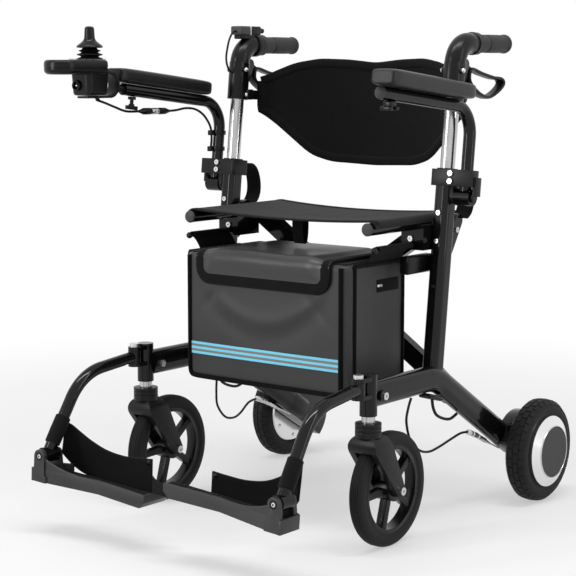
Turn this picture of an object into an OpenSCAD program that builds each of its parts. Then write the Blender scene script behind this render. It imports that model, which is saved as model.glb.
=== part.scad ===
// Folding rollator transport chair with hub motors, swing-away footrests and flip-back arms.
// Units are millimetres. +Z is up, the rider faces -Y, and the origin is on the floor under the middle.
// The left side of the chair is +X. Right-hand pieces are mirror images of the left-hand ones.

/* [Wheels] */
// Outer diameter of the front wheels
wheel_d = 200; // [195:1:205]
// Outer diameter of the rear wheels
rear_d = 194; // [190:1:200]
// Width of a caster tyre
caster_w = 26; // [24:1:30]
// Radial height of a caster tyre
caster_tyre_h = 24; // [20:1:28]
// Distance that the caster axle trails behind its stem
caster_trail = 58; // [50:1:62]
// Number of caster spokes
caster_spokes = 5; // [3:1:7]
// Width of a rear tyre
rear_w = 40; // [38:1:42]
// Radial height of a rear tyre
rear_tyre_h = 30; // [28:1:32]
// How far the hub cone stands out of the rear tyre
hub_bulge = 14; // [12:0.5:18]
// Radius of the flat cap on the hub
hub_cap_r = 48; // [40:1:54]

/* [Side frames] */
// Distance of each upright from the middle of the chair
upright_x = 246; // [240:1:260]
// Lean of the uprights towards the back, in degrees
lean = 6.4; // [4:0.2:8]
// Length of an upright tube
upright_len = 370; // [362:1:374]
// Width of an upright tube across the chair
upright_w = 31; // [30:0.5:34]
// Depth of an upright tube along the chair
upright_d = 35; // [34:0.5:38]
// Width of the oval lower tube
tube_w = 32; // [28:1:34]
// Height of the oval lower tube
tube_h = 46; // [42:1:50]
// Distance of the caster stem in front of the middle
head_y = 156; // [150:1:165]
// Diameter of the caster head
head_d = 30; // [28:1:34]
// Height of the caster head
head_h = 71; // [64:1:76]
// Diameter of the caster stem
stem_d = 14; // [12:1:18]
// Distance behind the middle where the lower tube bends and the upright starts
bend_y = 50; // [45:1:55]
// Distance of the rear axle behind the middle
rear_axle_y = 331; // [320:1:340]

/* [Handles] */
// Diameter of the sliding handle post
post_d = 26; // [24:0.5:27]
// Travel of the handle post
post_travel = 100; // [60:5:105]
// Height of the hand grips above the lower tube
grip_rise = 586; // [575:1:595]
// Diameter of a hand grip
grip_d = 32; // [28:1:36]
// Length of a hand grip
grip_len = 108; // [95:1:120]
// Diameter of the handle elbow
elbow_d = 38; // [36:1:40]

/* [Arms] */
// Distance from an upright to its arm tube
arm_gap = 41; // [40:1:45]
// Diameter of the arm tube
arm_d = 22; // [20:1:23]
// Reach of the arm tube in front of the upright
arm_reach = 278; // [260:1:300]
// Height of the arm tube along the upright
arm_u = 476.5; // [470:0.5:485]
// Length of an arm pad
pad_l = 252; // [230:1:260]
// Width of an arm pad
pad_w = 50; // [44:1:54]
// Thickness of an arm pad
pad_h = 27; // [22:1:32]

/* [Seat and cross brace] */
// Distance of each seat rail from the middle of the chair
rail_x = 201; // [198:1:206]
// Height of the seat rails above the lower tube
rail_rise = 270; // [264:1:276]
// Diameter of a seat rail
rail_d = 22; // [20:1:25]
// Distance of the front end of a seat rail in front of the middle
rail_front = 87; // [80:1:95]
// Distance of the rear end of a seat rail behind the middle
rail_back = 179; // [170:1:182]
// Width of a brace bar
brace_w = 34; // [28:1:36]
// Thickness of a brace bar
brace_t = 18; // [14:1:20]
// Distance of the lower brace pivots from the middle of the chair
brace_x = 212; // [211:1:214]
// Thickness of the seat cloth
sling_t = 4; // [3:0.5:5]

/* [Backrest] */
// Space between each end of the backrest and the middle of an upright
back_clear = 14; // [13:1:18]
// How far the backrest bows to the rear
back_sag = 60; // [50:1:70]
// Thickness of the backrest
back_t = 8; // [6:0.5:10]

/* [Footrests] */
// Diameter of a footrest tube
hanger_d = 22; // [20:1:24]
// Straight length from the swing pivot to the bend
hanger_l1 = 85; // [75:1:95]
// Bend radius of a footrest tube
hanger_r = 100; // [90:1:110]
// Straight length from the bend to the plate hinge
hanger_l2 = 101; // [94:1:106]
// Distance of the inner end of a footplate from the middle
plate_inner = 22; // [20:1:30]
// Depth of a footplate along the chair
plate_d = 78; // [70:1:82]
// Height of a footplate's rim
plate_h = 24; // [20:1:25]

/* [Bag] */
// Width of the bag
bag_w = 374; // [360:1:378]
// Depth of the bag
bag_d = 180; // [168:1:184]
// Height of the bag
bag_h = 222; // [210:1:226]
// Wall thickness of the bag
bag_t = 4; // [3:0.5:5]

/* [Joystick] */
// Length of the joystick housing
joy_l = 118; // [110:1:125]
// Width of the joystick housing
joy_w = 65; // [60:1:68]
// Height of the stick's top above the housing
stick_h = 59; // [54:1:62]

/* [Fits] */
// Radial running clearance of pins, stems and sliding posts
fit = 0.05; // [0.02:0.01:0.1]
// Gap between parts that pass or seat on each other
gap = 0.3; // [0.2:0.05:0.5]

/* [Hidden] */
$fn = 48;

// Heights that stack up from the floor
wheel_r = wheel_d / 2;
rear_r = rear_d / 2;
crown_gap = 7;
crown_z = wheel_d + crown_gap;
cup_h = 18;
collar_h = 12;
head_z = crown_z + cup_h + collar_h;
tube_drop = 34;
tube_z = head_z + tube_drop;
grip_z = tube_z + grip_rise;
rail_z = tube_z + rail_rise;

// Positions across the chair
head_x = upright_x + 8;
tube_x = upright_x + 4;
wheel_gap = 18;
hub_lip = 4.5;
rear_x = tube_x + tube_w / 2 + wheel_gap + rear_w / 2;
arm_x = upright_x + arm_gap;
pad_x = arm_x + 11;

// Rear part of the lower tube, which falls from the bend to the rear axle
rear_drop = atan((tube_z - rear_r) / (rear_axle_y - bend_y));
rear_len = norm([rear_axle_y - bend_y, tube_z - rear_r]);
tube_bend_r = 90;
// A bend is a little thicker than the straight tubes, which run into it
joint_lap = 2;
joint_step = 0.15;
tube_tangent = tube_bend_r * tan(rear_drop / 2);
casting_reach = 72;
casting_t = 22;
drum_r = 70;
axle_d = 12;

// Caster fork
fork_leg_t = 12;
fork_back = 5;
fork_w = caster_w + 2 * (4 + fork_leg_t);
fork_crown_r = 24;
fork_foot_r = 12;
stem_len = 54;
caster_axle_d = 8;
bolt_head_h = 5;
rim_h = 7;
caster_hub_r = 20;

// Upright, handle post and elbow, measured along the upright from the lower tube
upright_r = 11;
clamp_h = 29;
clamp_u = upright_len - clamp_h - 2;
clamp_front = 22;
clamp_wrap = 5;
post_u = 150;
elbow_u = 485;
elbow_bore = 45;
elbow_bend_r = 40;
corner_u = grip_rise / cos(lean);
elbow_turn = 90 - lean;
elbow_tangent = elbow_bend_r * tan(elbow_turn / 2);
corner_y = bend_y + corner_u * sin(lean);
elbow_run = 18;
elbow_exit_y = corner_y + elbow_tangent + elbow_run;
elbow_ring = 6;
back_y = elbow_exit_y - 6;
back_half_w = upright_x - back_clear;
bar_d = 22;
grip_y = elbow_exit_y + gap;
collar_r = 20;
lever_u = 555;
lever_v = 23;
lever_pin_d = 6;
lever_w = 20;
lever_root_t = 9.6;

// Arms
arm_pivot_u = clamp_u - 18;
arm_bend_r = 50;
arm_pin_d = 10;
arm_barrel_d = 30;
arm_barrel_w = 30;
arm_plate_t = 8;
arm_front_y = bend_y - arm_reach * cos(lean) + arm_u * sin(lean);
arm_front_z = tube_z + arm_reach * sin(lean) + arm_u * cos(lean);
// The pad runs past the front end of the arm tube
pad_overhang = 15;
pad_back = arm_reach + pad_overhang - pad_l;

// Seat saddle and the rods that carry the bag
saddle_y = 34;
saddle_l = 64;
saddle_h = 44;
rod_x = 210.5;
rod_z = rail_z - 36;
rod_d = 8;
rod_front = 79;
rod_ball_d = 12;

// Belt anchor behind each upright
anchor_y = 122;
anchor_z = rail_z + 4;
anchor_r = 12;

// Cross brace, folded flat layers in front of and behind brace_y
brace_y = 124;
brace_gap = 4;
brace_z = tube_z - 9;
brace_pin_d = 10;
brace_lug_t = 6;
brace_cross_z = brace_z + brace_x * (rail_z - brace_z) / (brace_x + rail_x);
function layer_y(side) = side > 0 ? brace_y - brace_gap / 2 - brace_t : brace_y + brace_gap / 2;

// Footrest hanger, a tube that runs forward and bends down
hanger_y = head_y + head_d / 2 + 14;
hanger_z = tube_z + 15.5;
hanger_pitch = 6;
hanger_turn = 51.5;
hanger_splay = 2.2;
hanger_eye_d = 24;
hanger_eye_h = 22;
hanger_lug_t = 7;
hanger_pin_d = 10;
function heading(a) = [-cos(a), -sin(a)];
function inward(a) = [sin(a), -cos(a)];
hanger_p1 = hanger_l1 * heading(hanger_pitch);
hanger_c = hanger_p1 + hanger_r * inward(hanger_pitch);
hanger_p2 = hanger_c - hanger_r * inward(hanger_pitch + hanger_turn);
hanger_end = hanger_p2 + hanger_l2 * heading(hanger_pitch + hanger_turn);

// Footplate, hung from a hinge that runs along the chair
hinge_block_d = 28;
hinge_block_l = 30;
hinge_x = head_x - hanger_end[0] * sin(hanger_splay);
hinge_y = -hanger_y + hanger_end[0] * cos(hanger_splay);
hinge_z = hanger_z + hanger_end[1] - 6;
hinge_pin_d = 8;
plate_drop = 46;
plate_outer = 17;
plate_lug_t = 9;
plate_rim = 5;
plate_floor = 6;
plate_bevel = 12;
plate_tilt_left = 4;
plate_tilt_right = -3;

// Bag
bag_front = 122.5;
bag_z = tube_z - 12;
bag_corner = 22;
bag_top = bag_z + bag_h;
flap_w = 300;
flap_t = 9;
flap_lip = 54;
slot_l = 66;
slot_h = 22;

// Joystick
joy_x = 292;
joy_y = arm_front_y - 78;
joy_top = arm_front_z + 53;
joy_slab_h = 26;
joy_box_l = 55;
joy_box_w = 50;
joy_box_h = 39;
bracket_r = joy_box_h / 2 + gap;
bracket_t = 4;
joy_rod_d = 14;
bracket_w = 26;
bracket_y = arm_front_y - 39;
bracket_z = joy_top - joy_slab_h + 1 - joy_box_h / 2;
stick_r = 9.5;
skirt_r = 24;
skirt_z = 17;
boot_ribs = 3;
gimbal_r = 12;
ball_r = 7;

// Attendant control
control_l = 68;
control_w = 28;
control_h = 17;
control_y = corner_y - 16;
button_d = 10;
button_l = 11;
button_in = 2;

// Cable routes on the left side, as points along the chair and up from the floor
cable_d = 4.5;
brake_route = [
  [-22, 245.2], [-31, 228], [-36, 205], [-24, 172], [4, 148],
  [36, 139], [70, 142], [103, 148], [140, 154], [166, 152]
];
brake_route_right = [
  [40, 240], [42, 214], [41, 186], [44, 158], [66, 132],
  [92, 125], [114, 131], [140, 148], [166, 152]
];
lead_route = [[44, 235], [48, 217], [59, 202], [80, 192], [104, 187], [126, 192.6]];
joystick_route = [
  [-236, 757], [-214, 751], [-190, 743.5], [-160, 735], [-126, 734]
];
joystick_route_back = [
  [-41, 733], [-22, 734], [4, 737], [30, 735], [52, 726], [68, 712], [78, 696], [80, 676], [77, 656]
];
control_route = [[101, 884], [90, 880], [80, 866], [74, 848], [71, 832], [75, 816], [85.5, 804]];

// Places children on the left side, or mirrors them to the right side
module on_side(side) {
  if (side > 0) children();
  else mirror([1, 0, 0]) children();
}

// Stands children in an upright's own frame: x across, y behind the upright, z along it
module on_upright() {
  translate([upright_x, bend_y, tube_z]) rotate([-lean, 0, 0]) children();
}

// Extrudes an outline of the chair's side, drawn as y and z, between two x positions
module along_x(x0, x1) {
  translate([x0, 0, 0]) rotate([90, 0, 90]) linear_extrude(x1 - x0) children();
}

// Extrudes an outline of the chair's front, drawn as x and z, between two y positions
module along_y(y0, y1) {
  translate([0, y1, 0]) rotate([90, 0, 0]) linear_extrude(y1 - y0) children();
}

// Turns a profile, drawn as radius and x, about an axis along x
module around_x() {
  rotate([0, 90, 0]) rotate_extrude($fn = 96) children();
}

// A tube bent in the plane of y and z, from one angle through a turn
module arc_tube(centre, r, from, turn, d) {
  translate([0, centre[0], centre[1]]) rotate([90, 0, 90]) rotate([0, 0, from])
    rotate_extrude(angle = turn, $fn = 96) translate([r, 0]) circle(d = d);
}

// Flat outline with a round end of its own radius at each of two points
module bar_outline(p, q, rp, rq) {
  a = atan2(q[1] - p[1], q[0] - p[0]);
  b = acos((rp - rq) / norm(q - p));
  translate(p) circle(rp);
  translate(q) circle(rq);
  polygon([
    p + rp * [cos(a + b), sin(a + b)],
    q + rq * [cos(a + b), sin(a + b)],
    q + rq * [cos(a - b), sin(a - b)],
    p + rp * [cos(a - b), sin(a - b)]
  ]);
}

// Closed band of one width along a loop of points, with mitred corners
function loop_corner(a, b, c, d) =
  let (
    u = (b - a) / norm(b - a),
    v = (c - b) / norm(c - b),
    m = [-u[1] - v[1], u[0] + v[0]]
  )
    b + d * m / (1 + u * v);
function loop_edge(p, d) =
  let (n = len(p))
    [for (i = [0:n - 1]) loop_corner(p[(i + n - 1) % n], p[i], p[(i + 1) % n], d)];
module loop_band(p, t) {
  difference() {
    polygon(loop_edge(p, t / 2));
    polygon(loop_edge(p, -t / 2));
  }
}

// Rectangle with round corners
module round_rect(w, h, r) {
  square([w - 2 * r, h], center = true);
  square([w, h - 2 * r], center = true);
  for (x = [-1, 1])
    for (y = [-1, 1])
      translate([x * (w / 2 - r), y * (h / 2 - r)]) circle(r);
}

// Oval tube section, taller than it is wide
module oval(w, h) {
  square([w, h - w], center = true);
  for (y = [-1, 1]) translate([0, y * (h - w) / 2]) circle(d = w);
}

// Outline of a thin bent strip along a list of points
function strip_side(p, i) =
  let (v = p[min(i + 1, len(p) - 1)] - p[max(i - 1, 0)])
    [-v[1], v[0]] / norm(v);
function strip_outline(p, t) = concat(
  [for (i = [0:len(p) - 1]) p[i] + t / 2 * strip_side(p, i)],
  [for (i = [len(p) - 1:-1:0]) p[i] - t / 2 * strip_side(p, i)]
);

// Round bar between two points
module rod(p, q, d) {
  v = q - p;
  translate(p) rotate([0, acos(v[2] / norm(v)), atan2(v[1], v[0])]) cylinder(h = norm(v), d = d);
}

// Smooth curve through a list of points
function blend_point(a, b, c, d, t) =
  0.5 * (2 * b + (c - a) * t + (2 * a - 5 * b + 4 * c - d) * t * t + (3 * b - a - 3 * c + d) * t * t * t);
function smooth(p, steps) = [
  for (i = [0:len(p) - 2])
    for (k = [0:steps - 1])
      blend_point(p[max(i - 1, 0)], p[i], p[i + 1], p[min(i + 2, len(p) - 1)], k / steps),
  p[len(p) - 1]
];

// Cable of eight sides along a route of y and z points, at one x
module cable(route, d, x) {
  path = smooth(route, 3);
  n = len(path);
  sides = 8;
  function along(i) = path[min(i + 1, n - 1)] - path[max(i - 1, 0)];
  function across(i) = [along(i)[1], -along(i)[0]] / norm(along(i));
  corners = [
    for (i = [0:n - 1])
      for (s = [0:sides - 1])
        let (off = d / 2 * cos(s * 360 / sides) * across(i))
          [x + d / 2 * sin(s * 360 / sides), path[i][0] + off[0], path[i][1] + off[1]]
  ];
  walls = [
    for (i = [0:n - 2])
      for (s = [0:sides - 1])
        let (a = i * sides + s, b = i * sides + (s + 1) % sides)
          each [[a, b, b + sides], [a, b + sides, a + sides]]
  ];
  front = [[for (s = [sides - 1:-1:0]) s]];
  back = [[for (s = [0:sides - 1]) (n - 1) * sides + s]];
  polyhedron(points = corners, faces = concat(walls, front, back));
}

// Upright band through stations of [x, y, low z, high z], with one thickness along y
module band(stations, t) {
  n = len(stations);
  corners = [
    for (s = stations)
      each [
        [s[0], s[1] - t / 2, s[2]], [s[0], s[1] + t / 2, s[2]],
        [s[0], s[1] + t / 2, s[3]], [s[0], s[1] - t / 2, s[3]]
      ]
  ];
  walls = [
    for (i = [0:n - 2])
      for (k = [0:3])
        let (a = 4 * i + k, b = 4 * i + (k + 1) % 4)
          each [[a, b, b + 4], [a, b + 4, a + 4]]
  ];
  ends = [[3, 2, 1, 0], [for (k = [0:3]) 4 * (n - 1) + k]];
  polyhedron(points = corners, faces = concat(walls, ends));
}

// Button-head screw along +z, seated on z = 0
module screw_head(d, h) {
  difference() {
    cylinder(h = h, d = d);
    translate([0, 0, h / 2]) cylinder(h = h, d = d * 0.45, $fn = 6);
  }
}

// Side frames

module lower_tube() {
  translate([tube_x, 0, tube_z]) along_y(6 - head_y, bend_y - tube_tangent + joint_lap) oval(tube_w, tube_h);
  translate([tube_x, bend_y - tube_tangent, tube_z - tube_bend_r])
    rotate([90, 0, 90]) rotate([0, 0, 90 - rear_drop])
    rotate_extrude(angle = rear_drop, $fn = 96) translate([tube_bend_r, 0]) rotate([0, 0, 90])
      oval(tube_w + 2 * joint_step, tube_h + 2 * joint_step);
  translate([tube_x, rear_axle_y, rear_r]) rotate([-rear_drop, 0, 0])
    along_y(tube_tangent - joint_lap - rear_len, -casting_reach) oval(tube_w, tube_h);
}

module caster_head() {
  translate([head_x, -head_y, head_z]) cylinder(h = head_h, d = head_d);
  translate([tube_x + tube_w / 2 - 2, 23 - head_y, tube_z - 2]) rotate([0, 90, 0]) cylinder(h = 6, d = 20);
  for (z = [hanger_z - hanger_eye_h / 2 - gap - hanger_lug_t, hanger_z + hanger_eye_h / 2 + gap])
    translate([0, 0, z]) linear_extrude(hanger_lug_t)
      bar_outline([head_x, -head_y], [head_x, -hanger_y], head_d / 2 - 2, hanger_eye_d / 2);
}

module seat_saddle() {
  inner = rail_x - rail_d / 2 - 2;
  translate([inner, saddle_y, rail_z - saddle_h])
    cube([upright_x - upright_w / 2 + 4 - inner, saddle_l, saddle_h]);
  rod([rod_x, saddle_y + 2, rod_z], [rod_x, -rod_front, rod_z], rod_d);
  translate([rod_x, -rod_front, rod_z]) sphere(d = rod_ball_d);
}

// Plate behind the upright that anchors the belt
module belt_anchor() {
  along_x(upright_x - 8, upright_x + 6)
    bar_outline([92, rail_z - 44], [anchor_y, anchor_z], anchor_r, anchor_r);
}

module brace_lugs(side) {
  y0 = layer_y(side);
  foot_y = y0 + brace_t / 2;
  foot_z = tube_z - (foot_y - bend_y) * tan(rear_drop);
  for (y = [y0 - gap - brace_lug_t, y0 + brace_t + gap])
    along_y(y, y + brace_lug_t) bar_outline([brace_x, brace_z], [tube_x - 4, foot_z], 13, 17);
}

module side_frame(side) {
  y0 = layer_y(side);
  color("#141517") on_side(side) difference() {
    union() {
      lower_tube();
      caster_head();
      on_upright() linear_extrude(upright_len) round_rect(upright_w, upright_d, upright_r);
      seat_saddle();
      belt_anchor();
      brace_lugs(side);
    }
    translate([head_x, -head_y, head_z - 1]) cylinder(h = stem_len + 2, d = stem_d + 2 * fit);
    translate([head_x, -hanger_y, tube_z - 40]) cylinder(h = 80, d = hanger_pin_d + 2 * fit);
    on_upright() translate([0, 0, post_u - post_travel - 4])
      cylinder(h = upright_len, d = post_d + 2 * fit);
    translate([rail_x, saddle_y - 1, rail_z]) rotate([-90, 0, 0])
      cylinder(h = saddle_l + 2, d = rail_d + 2 * gap);
    translate([brace_x, y0 - 20, brace_z]) rotate([-90, 0, 0])
      cylinder(h = brace_t + 40, d = brace_pin_d + 2 * fit);
  }
}

module frame_bolts(side) {
  y0 = layer_y(side);
  lug_out = gap + brace_lug_t;
  color("silver") on_side(side) {
    // Pin of the swing-away footrest, with its head on the upper lug
    pin_low = hanger_z - hanger_eye_h / 2 - gap - hanger_lug_t;
    pin_high = hanger_z + hanger_eye_h / 2 + gap + hanger_lug_t;
    translate([head_x, -hanger_y, pin_low]) cylinder(h = pin_high - pin_low + 1, d = hanger_pin_d);
    translate([head_x, -hanger_y, pin_high]) cylinder(h = 6, d = 18);
    // Lower pivot pin of the cross brace
    translate([brace_x, y0 - lug_out, brace_z]) rotate([-90, 0, 0])
      cylinder(h = brace_t + 2 * lug_out + 3, d = brace_pin_d);
    for (y = [y0 - lug_out - bolt_head_h, y0 + brace_t + lug_out])
      translate([brace_x, y, brace_z]) rotate([-90, 0, 0]) cylinder(h = bolt_head_h, d = 17);
    // Screw in the boss behind the caster head
    translate([tube_x + tube_w / 2 + 4, 23 - head_y, tube_z - 2]) rotate([0, 90, 0])
      screw_head(13, bolt_head_h);
    translate([tube_x - tube_w / 2, 23 - head_y, tube_z - 2]) rotate([0, -90, 0])
      screw_head(13, bolt_head_h);
    // Two screws down the front of the upright, and two in the arm clamp
    on_upright() {
      for (u = [241, 291])
        translate([0, -upright_d / 2, u]) rotate([90, 0, 0]) screw_head(9, 3);
      for (u = [clamp_u + 8, clamp_u + 22])
        translate([21.5, -clamp_front, u]) rotate([90, 0, 0]) screw_head(10, 3.5);
    }
    // Screw of the belt anchor
    translate([upright_x + 6, 112, rail_z - 12]) rotate([0, 90, 0]) screw_head(10, 4);
    // Screw on the front of the seat saddle
    translate([rail_x + 8, saddle_y, rail_z - 24]) rotate([90, 0, 0]) screw_head(10, 4);
  }
}

// Front casters

module at_caster() {
  translate([head_x, caster_trail - head_y, wheel_r]) children();
}

module caster_fork(side) {
  shoulder = 26;
  crown_c = [fork_back - head_y, crown_z - fork_crown_r + 4];
  color("#2a2b2d") on_side(side) difference() {
    union() {
      intersection() {
        translate([head_x, 0, 0]) along_y(-head_y - 60, caster_trail - head_y + 60)
          translate([0, crown_z / 2 + 20]) round_rect(fork_w, crown_z - 40, shoulder);
        along_x(head_x - fork_w, head_x + fork_w)
          bar_outline(crown_c, [caster_trail - head_y, wheel_r], fork_crown_r, fork_foot_r);
      }
      translate([head_x, -head_y, crown_z - 6]) cylinder(h = 6 + cup_h, d = 45);
      translate([head_x, -head_y, crown_z + cup_h]) cylinder(h = collar_h - gap, d = 22);
      translate([head_x, -head_y, crown_z]) cylinder(h = cup_h + collar_h + stem_len, d = stem_d);
    }
    translate([head_x - caster_w / 2 - 4, caster_trail - head_y, wheel_r]) rotate([0, 90, 0])
      cylinder(h = caster_w + 8, r = wheel_r + 4, $fn = 96);
    at_caster() rotate([0, 90, 0]) cylinder(h = 2 * fork_w, d = caster_axle_d + 2 * fit, center = true);
    for (z = [crown_z + 4, crown_z + 11])
      translate([head_x, -head_y, z]) difference() {
        cylinder(h = 2, d = 50);
        cylinder(h = 2, d = 42);
      }
  }
}

module caster_axle(side) {
  color("silver") on_side(side) at_caster() rotate([0, 90, 0]) {
    cylinder(h = fork_w + 2, d = caster_axle_d, center = true);
    for (z = [0, 180])
      rotate([z, 0, 0]) translate([0, 0, fork_w / 2]) screw_head(14, bolt_head_h);
  }
}

module caster_rim(side) {
  rim_r = wheel_r - caster_tyre_h;
  rim_w = caster_w - 4;
  color("#1b1c1e") on_side(side) at_caster() difference() {
    union() {
      rotate([0, 90, 0]) cylinder(h = caster_w + 6, r = caster_hub_r, center = true);
      rotate([0, 90, 0]) difference() {
        cylinder(h = rim_w, r = rim_r - fit, center = true, $fn = 96);
        cylinder(h = rim_w + 2, r = rim_r - rim_h, center = true, $fn = 96);
      }
      for (i = [0:caster_spokes - 1])
        rotate([i * 360 / caster_spokes + 20, 0, 0])
          translate([-rim_w / 3, -6, caster_hub_r - 4])
            cube([rim_w / 1.5, 12, rim_r - rim_h / 2 - caster_hub_r + 4]);
    }
    rotate([0, 90, 0]) cylinder(h = 2 * caster_w, d = caster_axle_d + 2 * fit, center = true);
  }
}

// Tyre ring about x, with round shoulders and grooves round its tread
module tyre_ring(r, h, w, shoulder, grooves) {
  around_x() difference() {
    union() {
      translate([r - h, -w / 2 + 2]) square([h / 2, w - 4]);
      translate([r - h * 0.46, 0]) round_rect(h * 0.92, w, shoulder);
    }
    for (x = grooves) translate([r - 2, x - 1.2]) square([4, 2.4]);
  }
}

module caster_tyre(side) {
  color("#26272a") on_side(side) at_caster()
    tyre_ring(wheel_r, caster_tyre_h, caster_w, 9, [-5.5, 0, 5.5]);
}

// Rear wheels with hub motors

module at_rear_wheel() {
  translate([rear_x, rear_axle_y, rear_r]) children();
}

module rear_tyre(side) {
  color("#242527") on_side(side) at_rear_wheel()
    tyre_ring(rear_r, rear_tyre_h, rear_w, 13, [-8, 0, 8]);
}

module hub_motor(side) {
  hub_r = rear_r - rear_tyre_h - fit;
  face = rear_w / 2;
  color("#c9cbce") on_side(side) at_rear_wheel() difference() {
    around_x() polygon([
      [0, -face + 2], [hub_r - 4, -face + 2], [hub_r, -face + 5], [hub_r, face + hub_lip],
      [hub_cap_r + 1.2, face + hub_bulge - 1], [hub_cap_r + gap, face + hub_bulge - 1.5],
      [hub_cap_r + gap, face + hub_bulge - 6],
      [0, face + hub_bulge - 6]
    ]);
    translate([-rear_w, 0, 0]) rotate([0, 90, 0]) cylinder(h = rear_w + face + 4, d = axle_d + 2 * fit);
    for (i = [0:5])
      rotate([i * 60, 0, 0]) translate([-face, 0, hub_r - 14]) rotate([0, 90, 0]) cylinder(h = 5, d = 5);
  }
}

module hub_cap(side) {
  face = rear_w / 2 + hub_bulge;
  color("#55575a") on_side(side) at_rear_wheel()
    around_x() polygon([
      [0, face - 6 + gap / 10], [hub_cap_r, face - 6 + gap / 10],
      [hub_cap_r, face - 1.5], [hub_cap_r - 2, face], [0, face]
    ]);
}

module at_tube_end() {
  translate([tube_x, rear_axle_y, rear_r]) rotate([-rear_drop, 0, 0]) children();
}

module brake_housing(side) {
  outer = rear_x - rear_w / 2 - 1.5 - tube_x;
  inner = -tube_w / 2 + 10;
  color("#1a1b1d") on_side(side) at_tube_end() difference() {
    union() {
      along_y(-casting_reach + gap, -20) oval(tube_w, tube_h);
      // Drum, cut level with the lower edge of the tube
      intersection() {
        translate([inner, 0, 0]) rotate([0, 90, 0]) {
          cylinder(h = outer - inner, r = drum_r, $fn = 96);
          cylinder(h = outer - inner - 6, r = casting_reach - 2 * gap, $fn = 96);
        }
        translate([0, -2 * drum_r, -tube_h / 2]) cube([3 * tube_w, 4 * drum_r, 4 * drum_r]);
      }
      rotate([0, 90, 0]) cylinder(h = outer, r = 20);
      rotate([0, 90, 0]) cylinder(h = rear_x + rear_w / 2 - tube_x, d = axle_d);
    }
    along_x(outer - 4, outer + 1) bar_outline([-46, 14], [-40, 26], 6, 6);
  }
}

// Brake cable with its adjuster and pull wire, and the motor lead with its gland
module rear_cables(side) {
  route = side > 0 ? brake_route : brake_route_right;
  end = route[len(route) - 1];
  // Gland plate, set square across the middle of the tube's bend
  gland_l = 44;
  gland_t = 9;
  gland_a = rear_drop / 2;
  bend_in = tube_bend_r - tube_h / 2 - joint_step;
  gland_d = sqrt(bend_in * bend_in - gland_l * gland_l / 4) - gap - gland_t;
  color("#101012") on_side(side) {
    cable(route, cable_d, tube_x);
    cable(lead_route, cable_d + 1, tube_x);
    rod([tube_x, end[0] + gap, end[1]], [tube_x, end[0] + 30, end[1] - 12], 11);
    rod([tube_x, end[0] + 34, end[1] - 13.6], [tube_x, end[0] + 74, end[1] - 34], 9);
    rod([tube_x, end[0] + 29, end[1] - 11.6], [tube_x, end[0] + 36, end[1] - 14.4], 5);
    at_tube_end() rod([0, -90, -28], [0, -50, -tube_h / 2 - gap - 1.5], 3);
    translate([tube_x, bend_y - tube_tangent, tube_z - tube_bend_r]) rotate([-gland_a, 0, 0])
      translate([0, 0, gland_d]) linear_extrude(gland_t) round_rect(26, gland_l, 10);
  }
}

// Belt web that hangs behind an upright, from its clamp down to the seat
module belt_strap(side) {
  top_v = upright_d / 2 + clamp_wrap + 0.4;
  top_u = clamp_u + 22.8;
  top = [bend_y, tube_z] + top_v * [cos(lean), -sin(lean)] + top_u * [sin(lean), cos(lean)];
  anchor = [anchor_y + anchor_r + 0.1, anchor_z + 3.7];
  along = anchor - top;
  across = [-along[1], along[0]] / norm(along);
  // Shares of the way from the clamp to the anchor, and the bow to the rear
  bow = [
    [0, 0], [0.0645, 16.1], [0.211, 26.3], [0.425, 30],
    [0.646, 28.3], [0.828, 22.2], [0.948, 12.4], [1, 0]
  ];
  route = [for (b = bow) top + b[0] * along + b[1] * across];
  color("#0d0d0f") on_side(side)
    along_x(upright_x - 17, upright_x + 17) polygon(strip_outline(route, 2.8));
}

// Handles

module handle_post(side) {
  color("#d4d6d9") on_side(side) on_upright()
    translate([0, 0, post_u]) cylinder(h = elbow_u + elbow_bore - post_u, d = post_d);
}

// Arm that reaches back to the end of the backrest
module back_bracket() {
  along_x(back_half_w + gap, upright_x - lever_w / 2 - 0.5)
    bar_outline([112, grip_z - 95], [back_y - 2, grip_z - 97], 9, 9);
}

module elbow_ears() {
  on_upright() along_x(-9, 9) {
    bar_outline([lever_v, lever_u], [12, lever_u - 4], 10, 14);
    bar_outline([lever_v, lever_u], [12, elbow_u + 30], 10, 6);
  }
}

module handle_elbow(side) {
  color("#1d1e20") on_side(side) difference() {
    union() {
      on_upright() {
        translate([0, 0, elbow_u]) linear_extrude(corner_u - elbow_tangent - elbow_u + joint_lap)
          oval(elbow_d - 2, elbow_d + 4);
        arc_tube([elbow_bend_r, corner_u - elbow_tangent], elbow_bend_r, 180, -elbow_turn, elbow_d);
      }
      translate([upright_x, elbow_exit_y, grip_z]) rotate([-90, 0, 0]) {
        translate([0, 0, -elbow_run - joint_lap])
          cylinder(h = elbow_run + joint_lap, d = elbow_d - 2 * joint_step);
        translate([0, 0, -elbow_ring]) cylinder(h = elbow_ring, d = elbow_d + 3);
        translate([0, 0, -elbow_run]) cylinder(h = elbow_run + grip_len - 6, d = bar_d);
      }
      elbow_ears();
      back_bracket();
    }
    on_upright() {
      translate([0, 0, elbow_u - 1]) cylinder(h = elbow_bore + 1 + gap, d = post_d + 2 * fit);
      // Slot for the root of the brake lever, open to the rear
      along_x(-lever_root_t / 2 - gap, lever_root_t / 2 + gap) {
        bar_outline([lever_v, lever_u], [lever_v + 32, lever_u - 8], 8, 20);
        bar_outline([lever_v, lever_u], [lever_v + 12, lever_u - 36], 8, 13);
      }
    }
  }
  // Lever pin across the ears, and the bolt that holds the post
  color("silver") on_side(side) on_upright() {
    translate([-9, lever_v, lever_u]) rotate([0, 90, 0]) cylinder(h = 18, d = lever_pin_d);
  }
}

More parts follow.
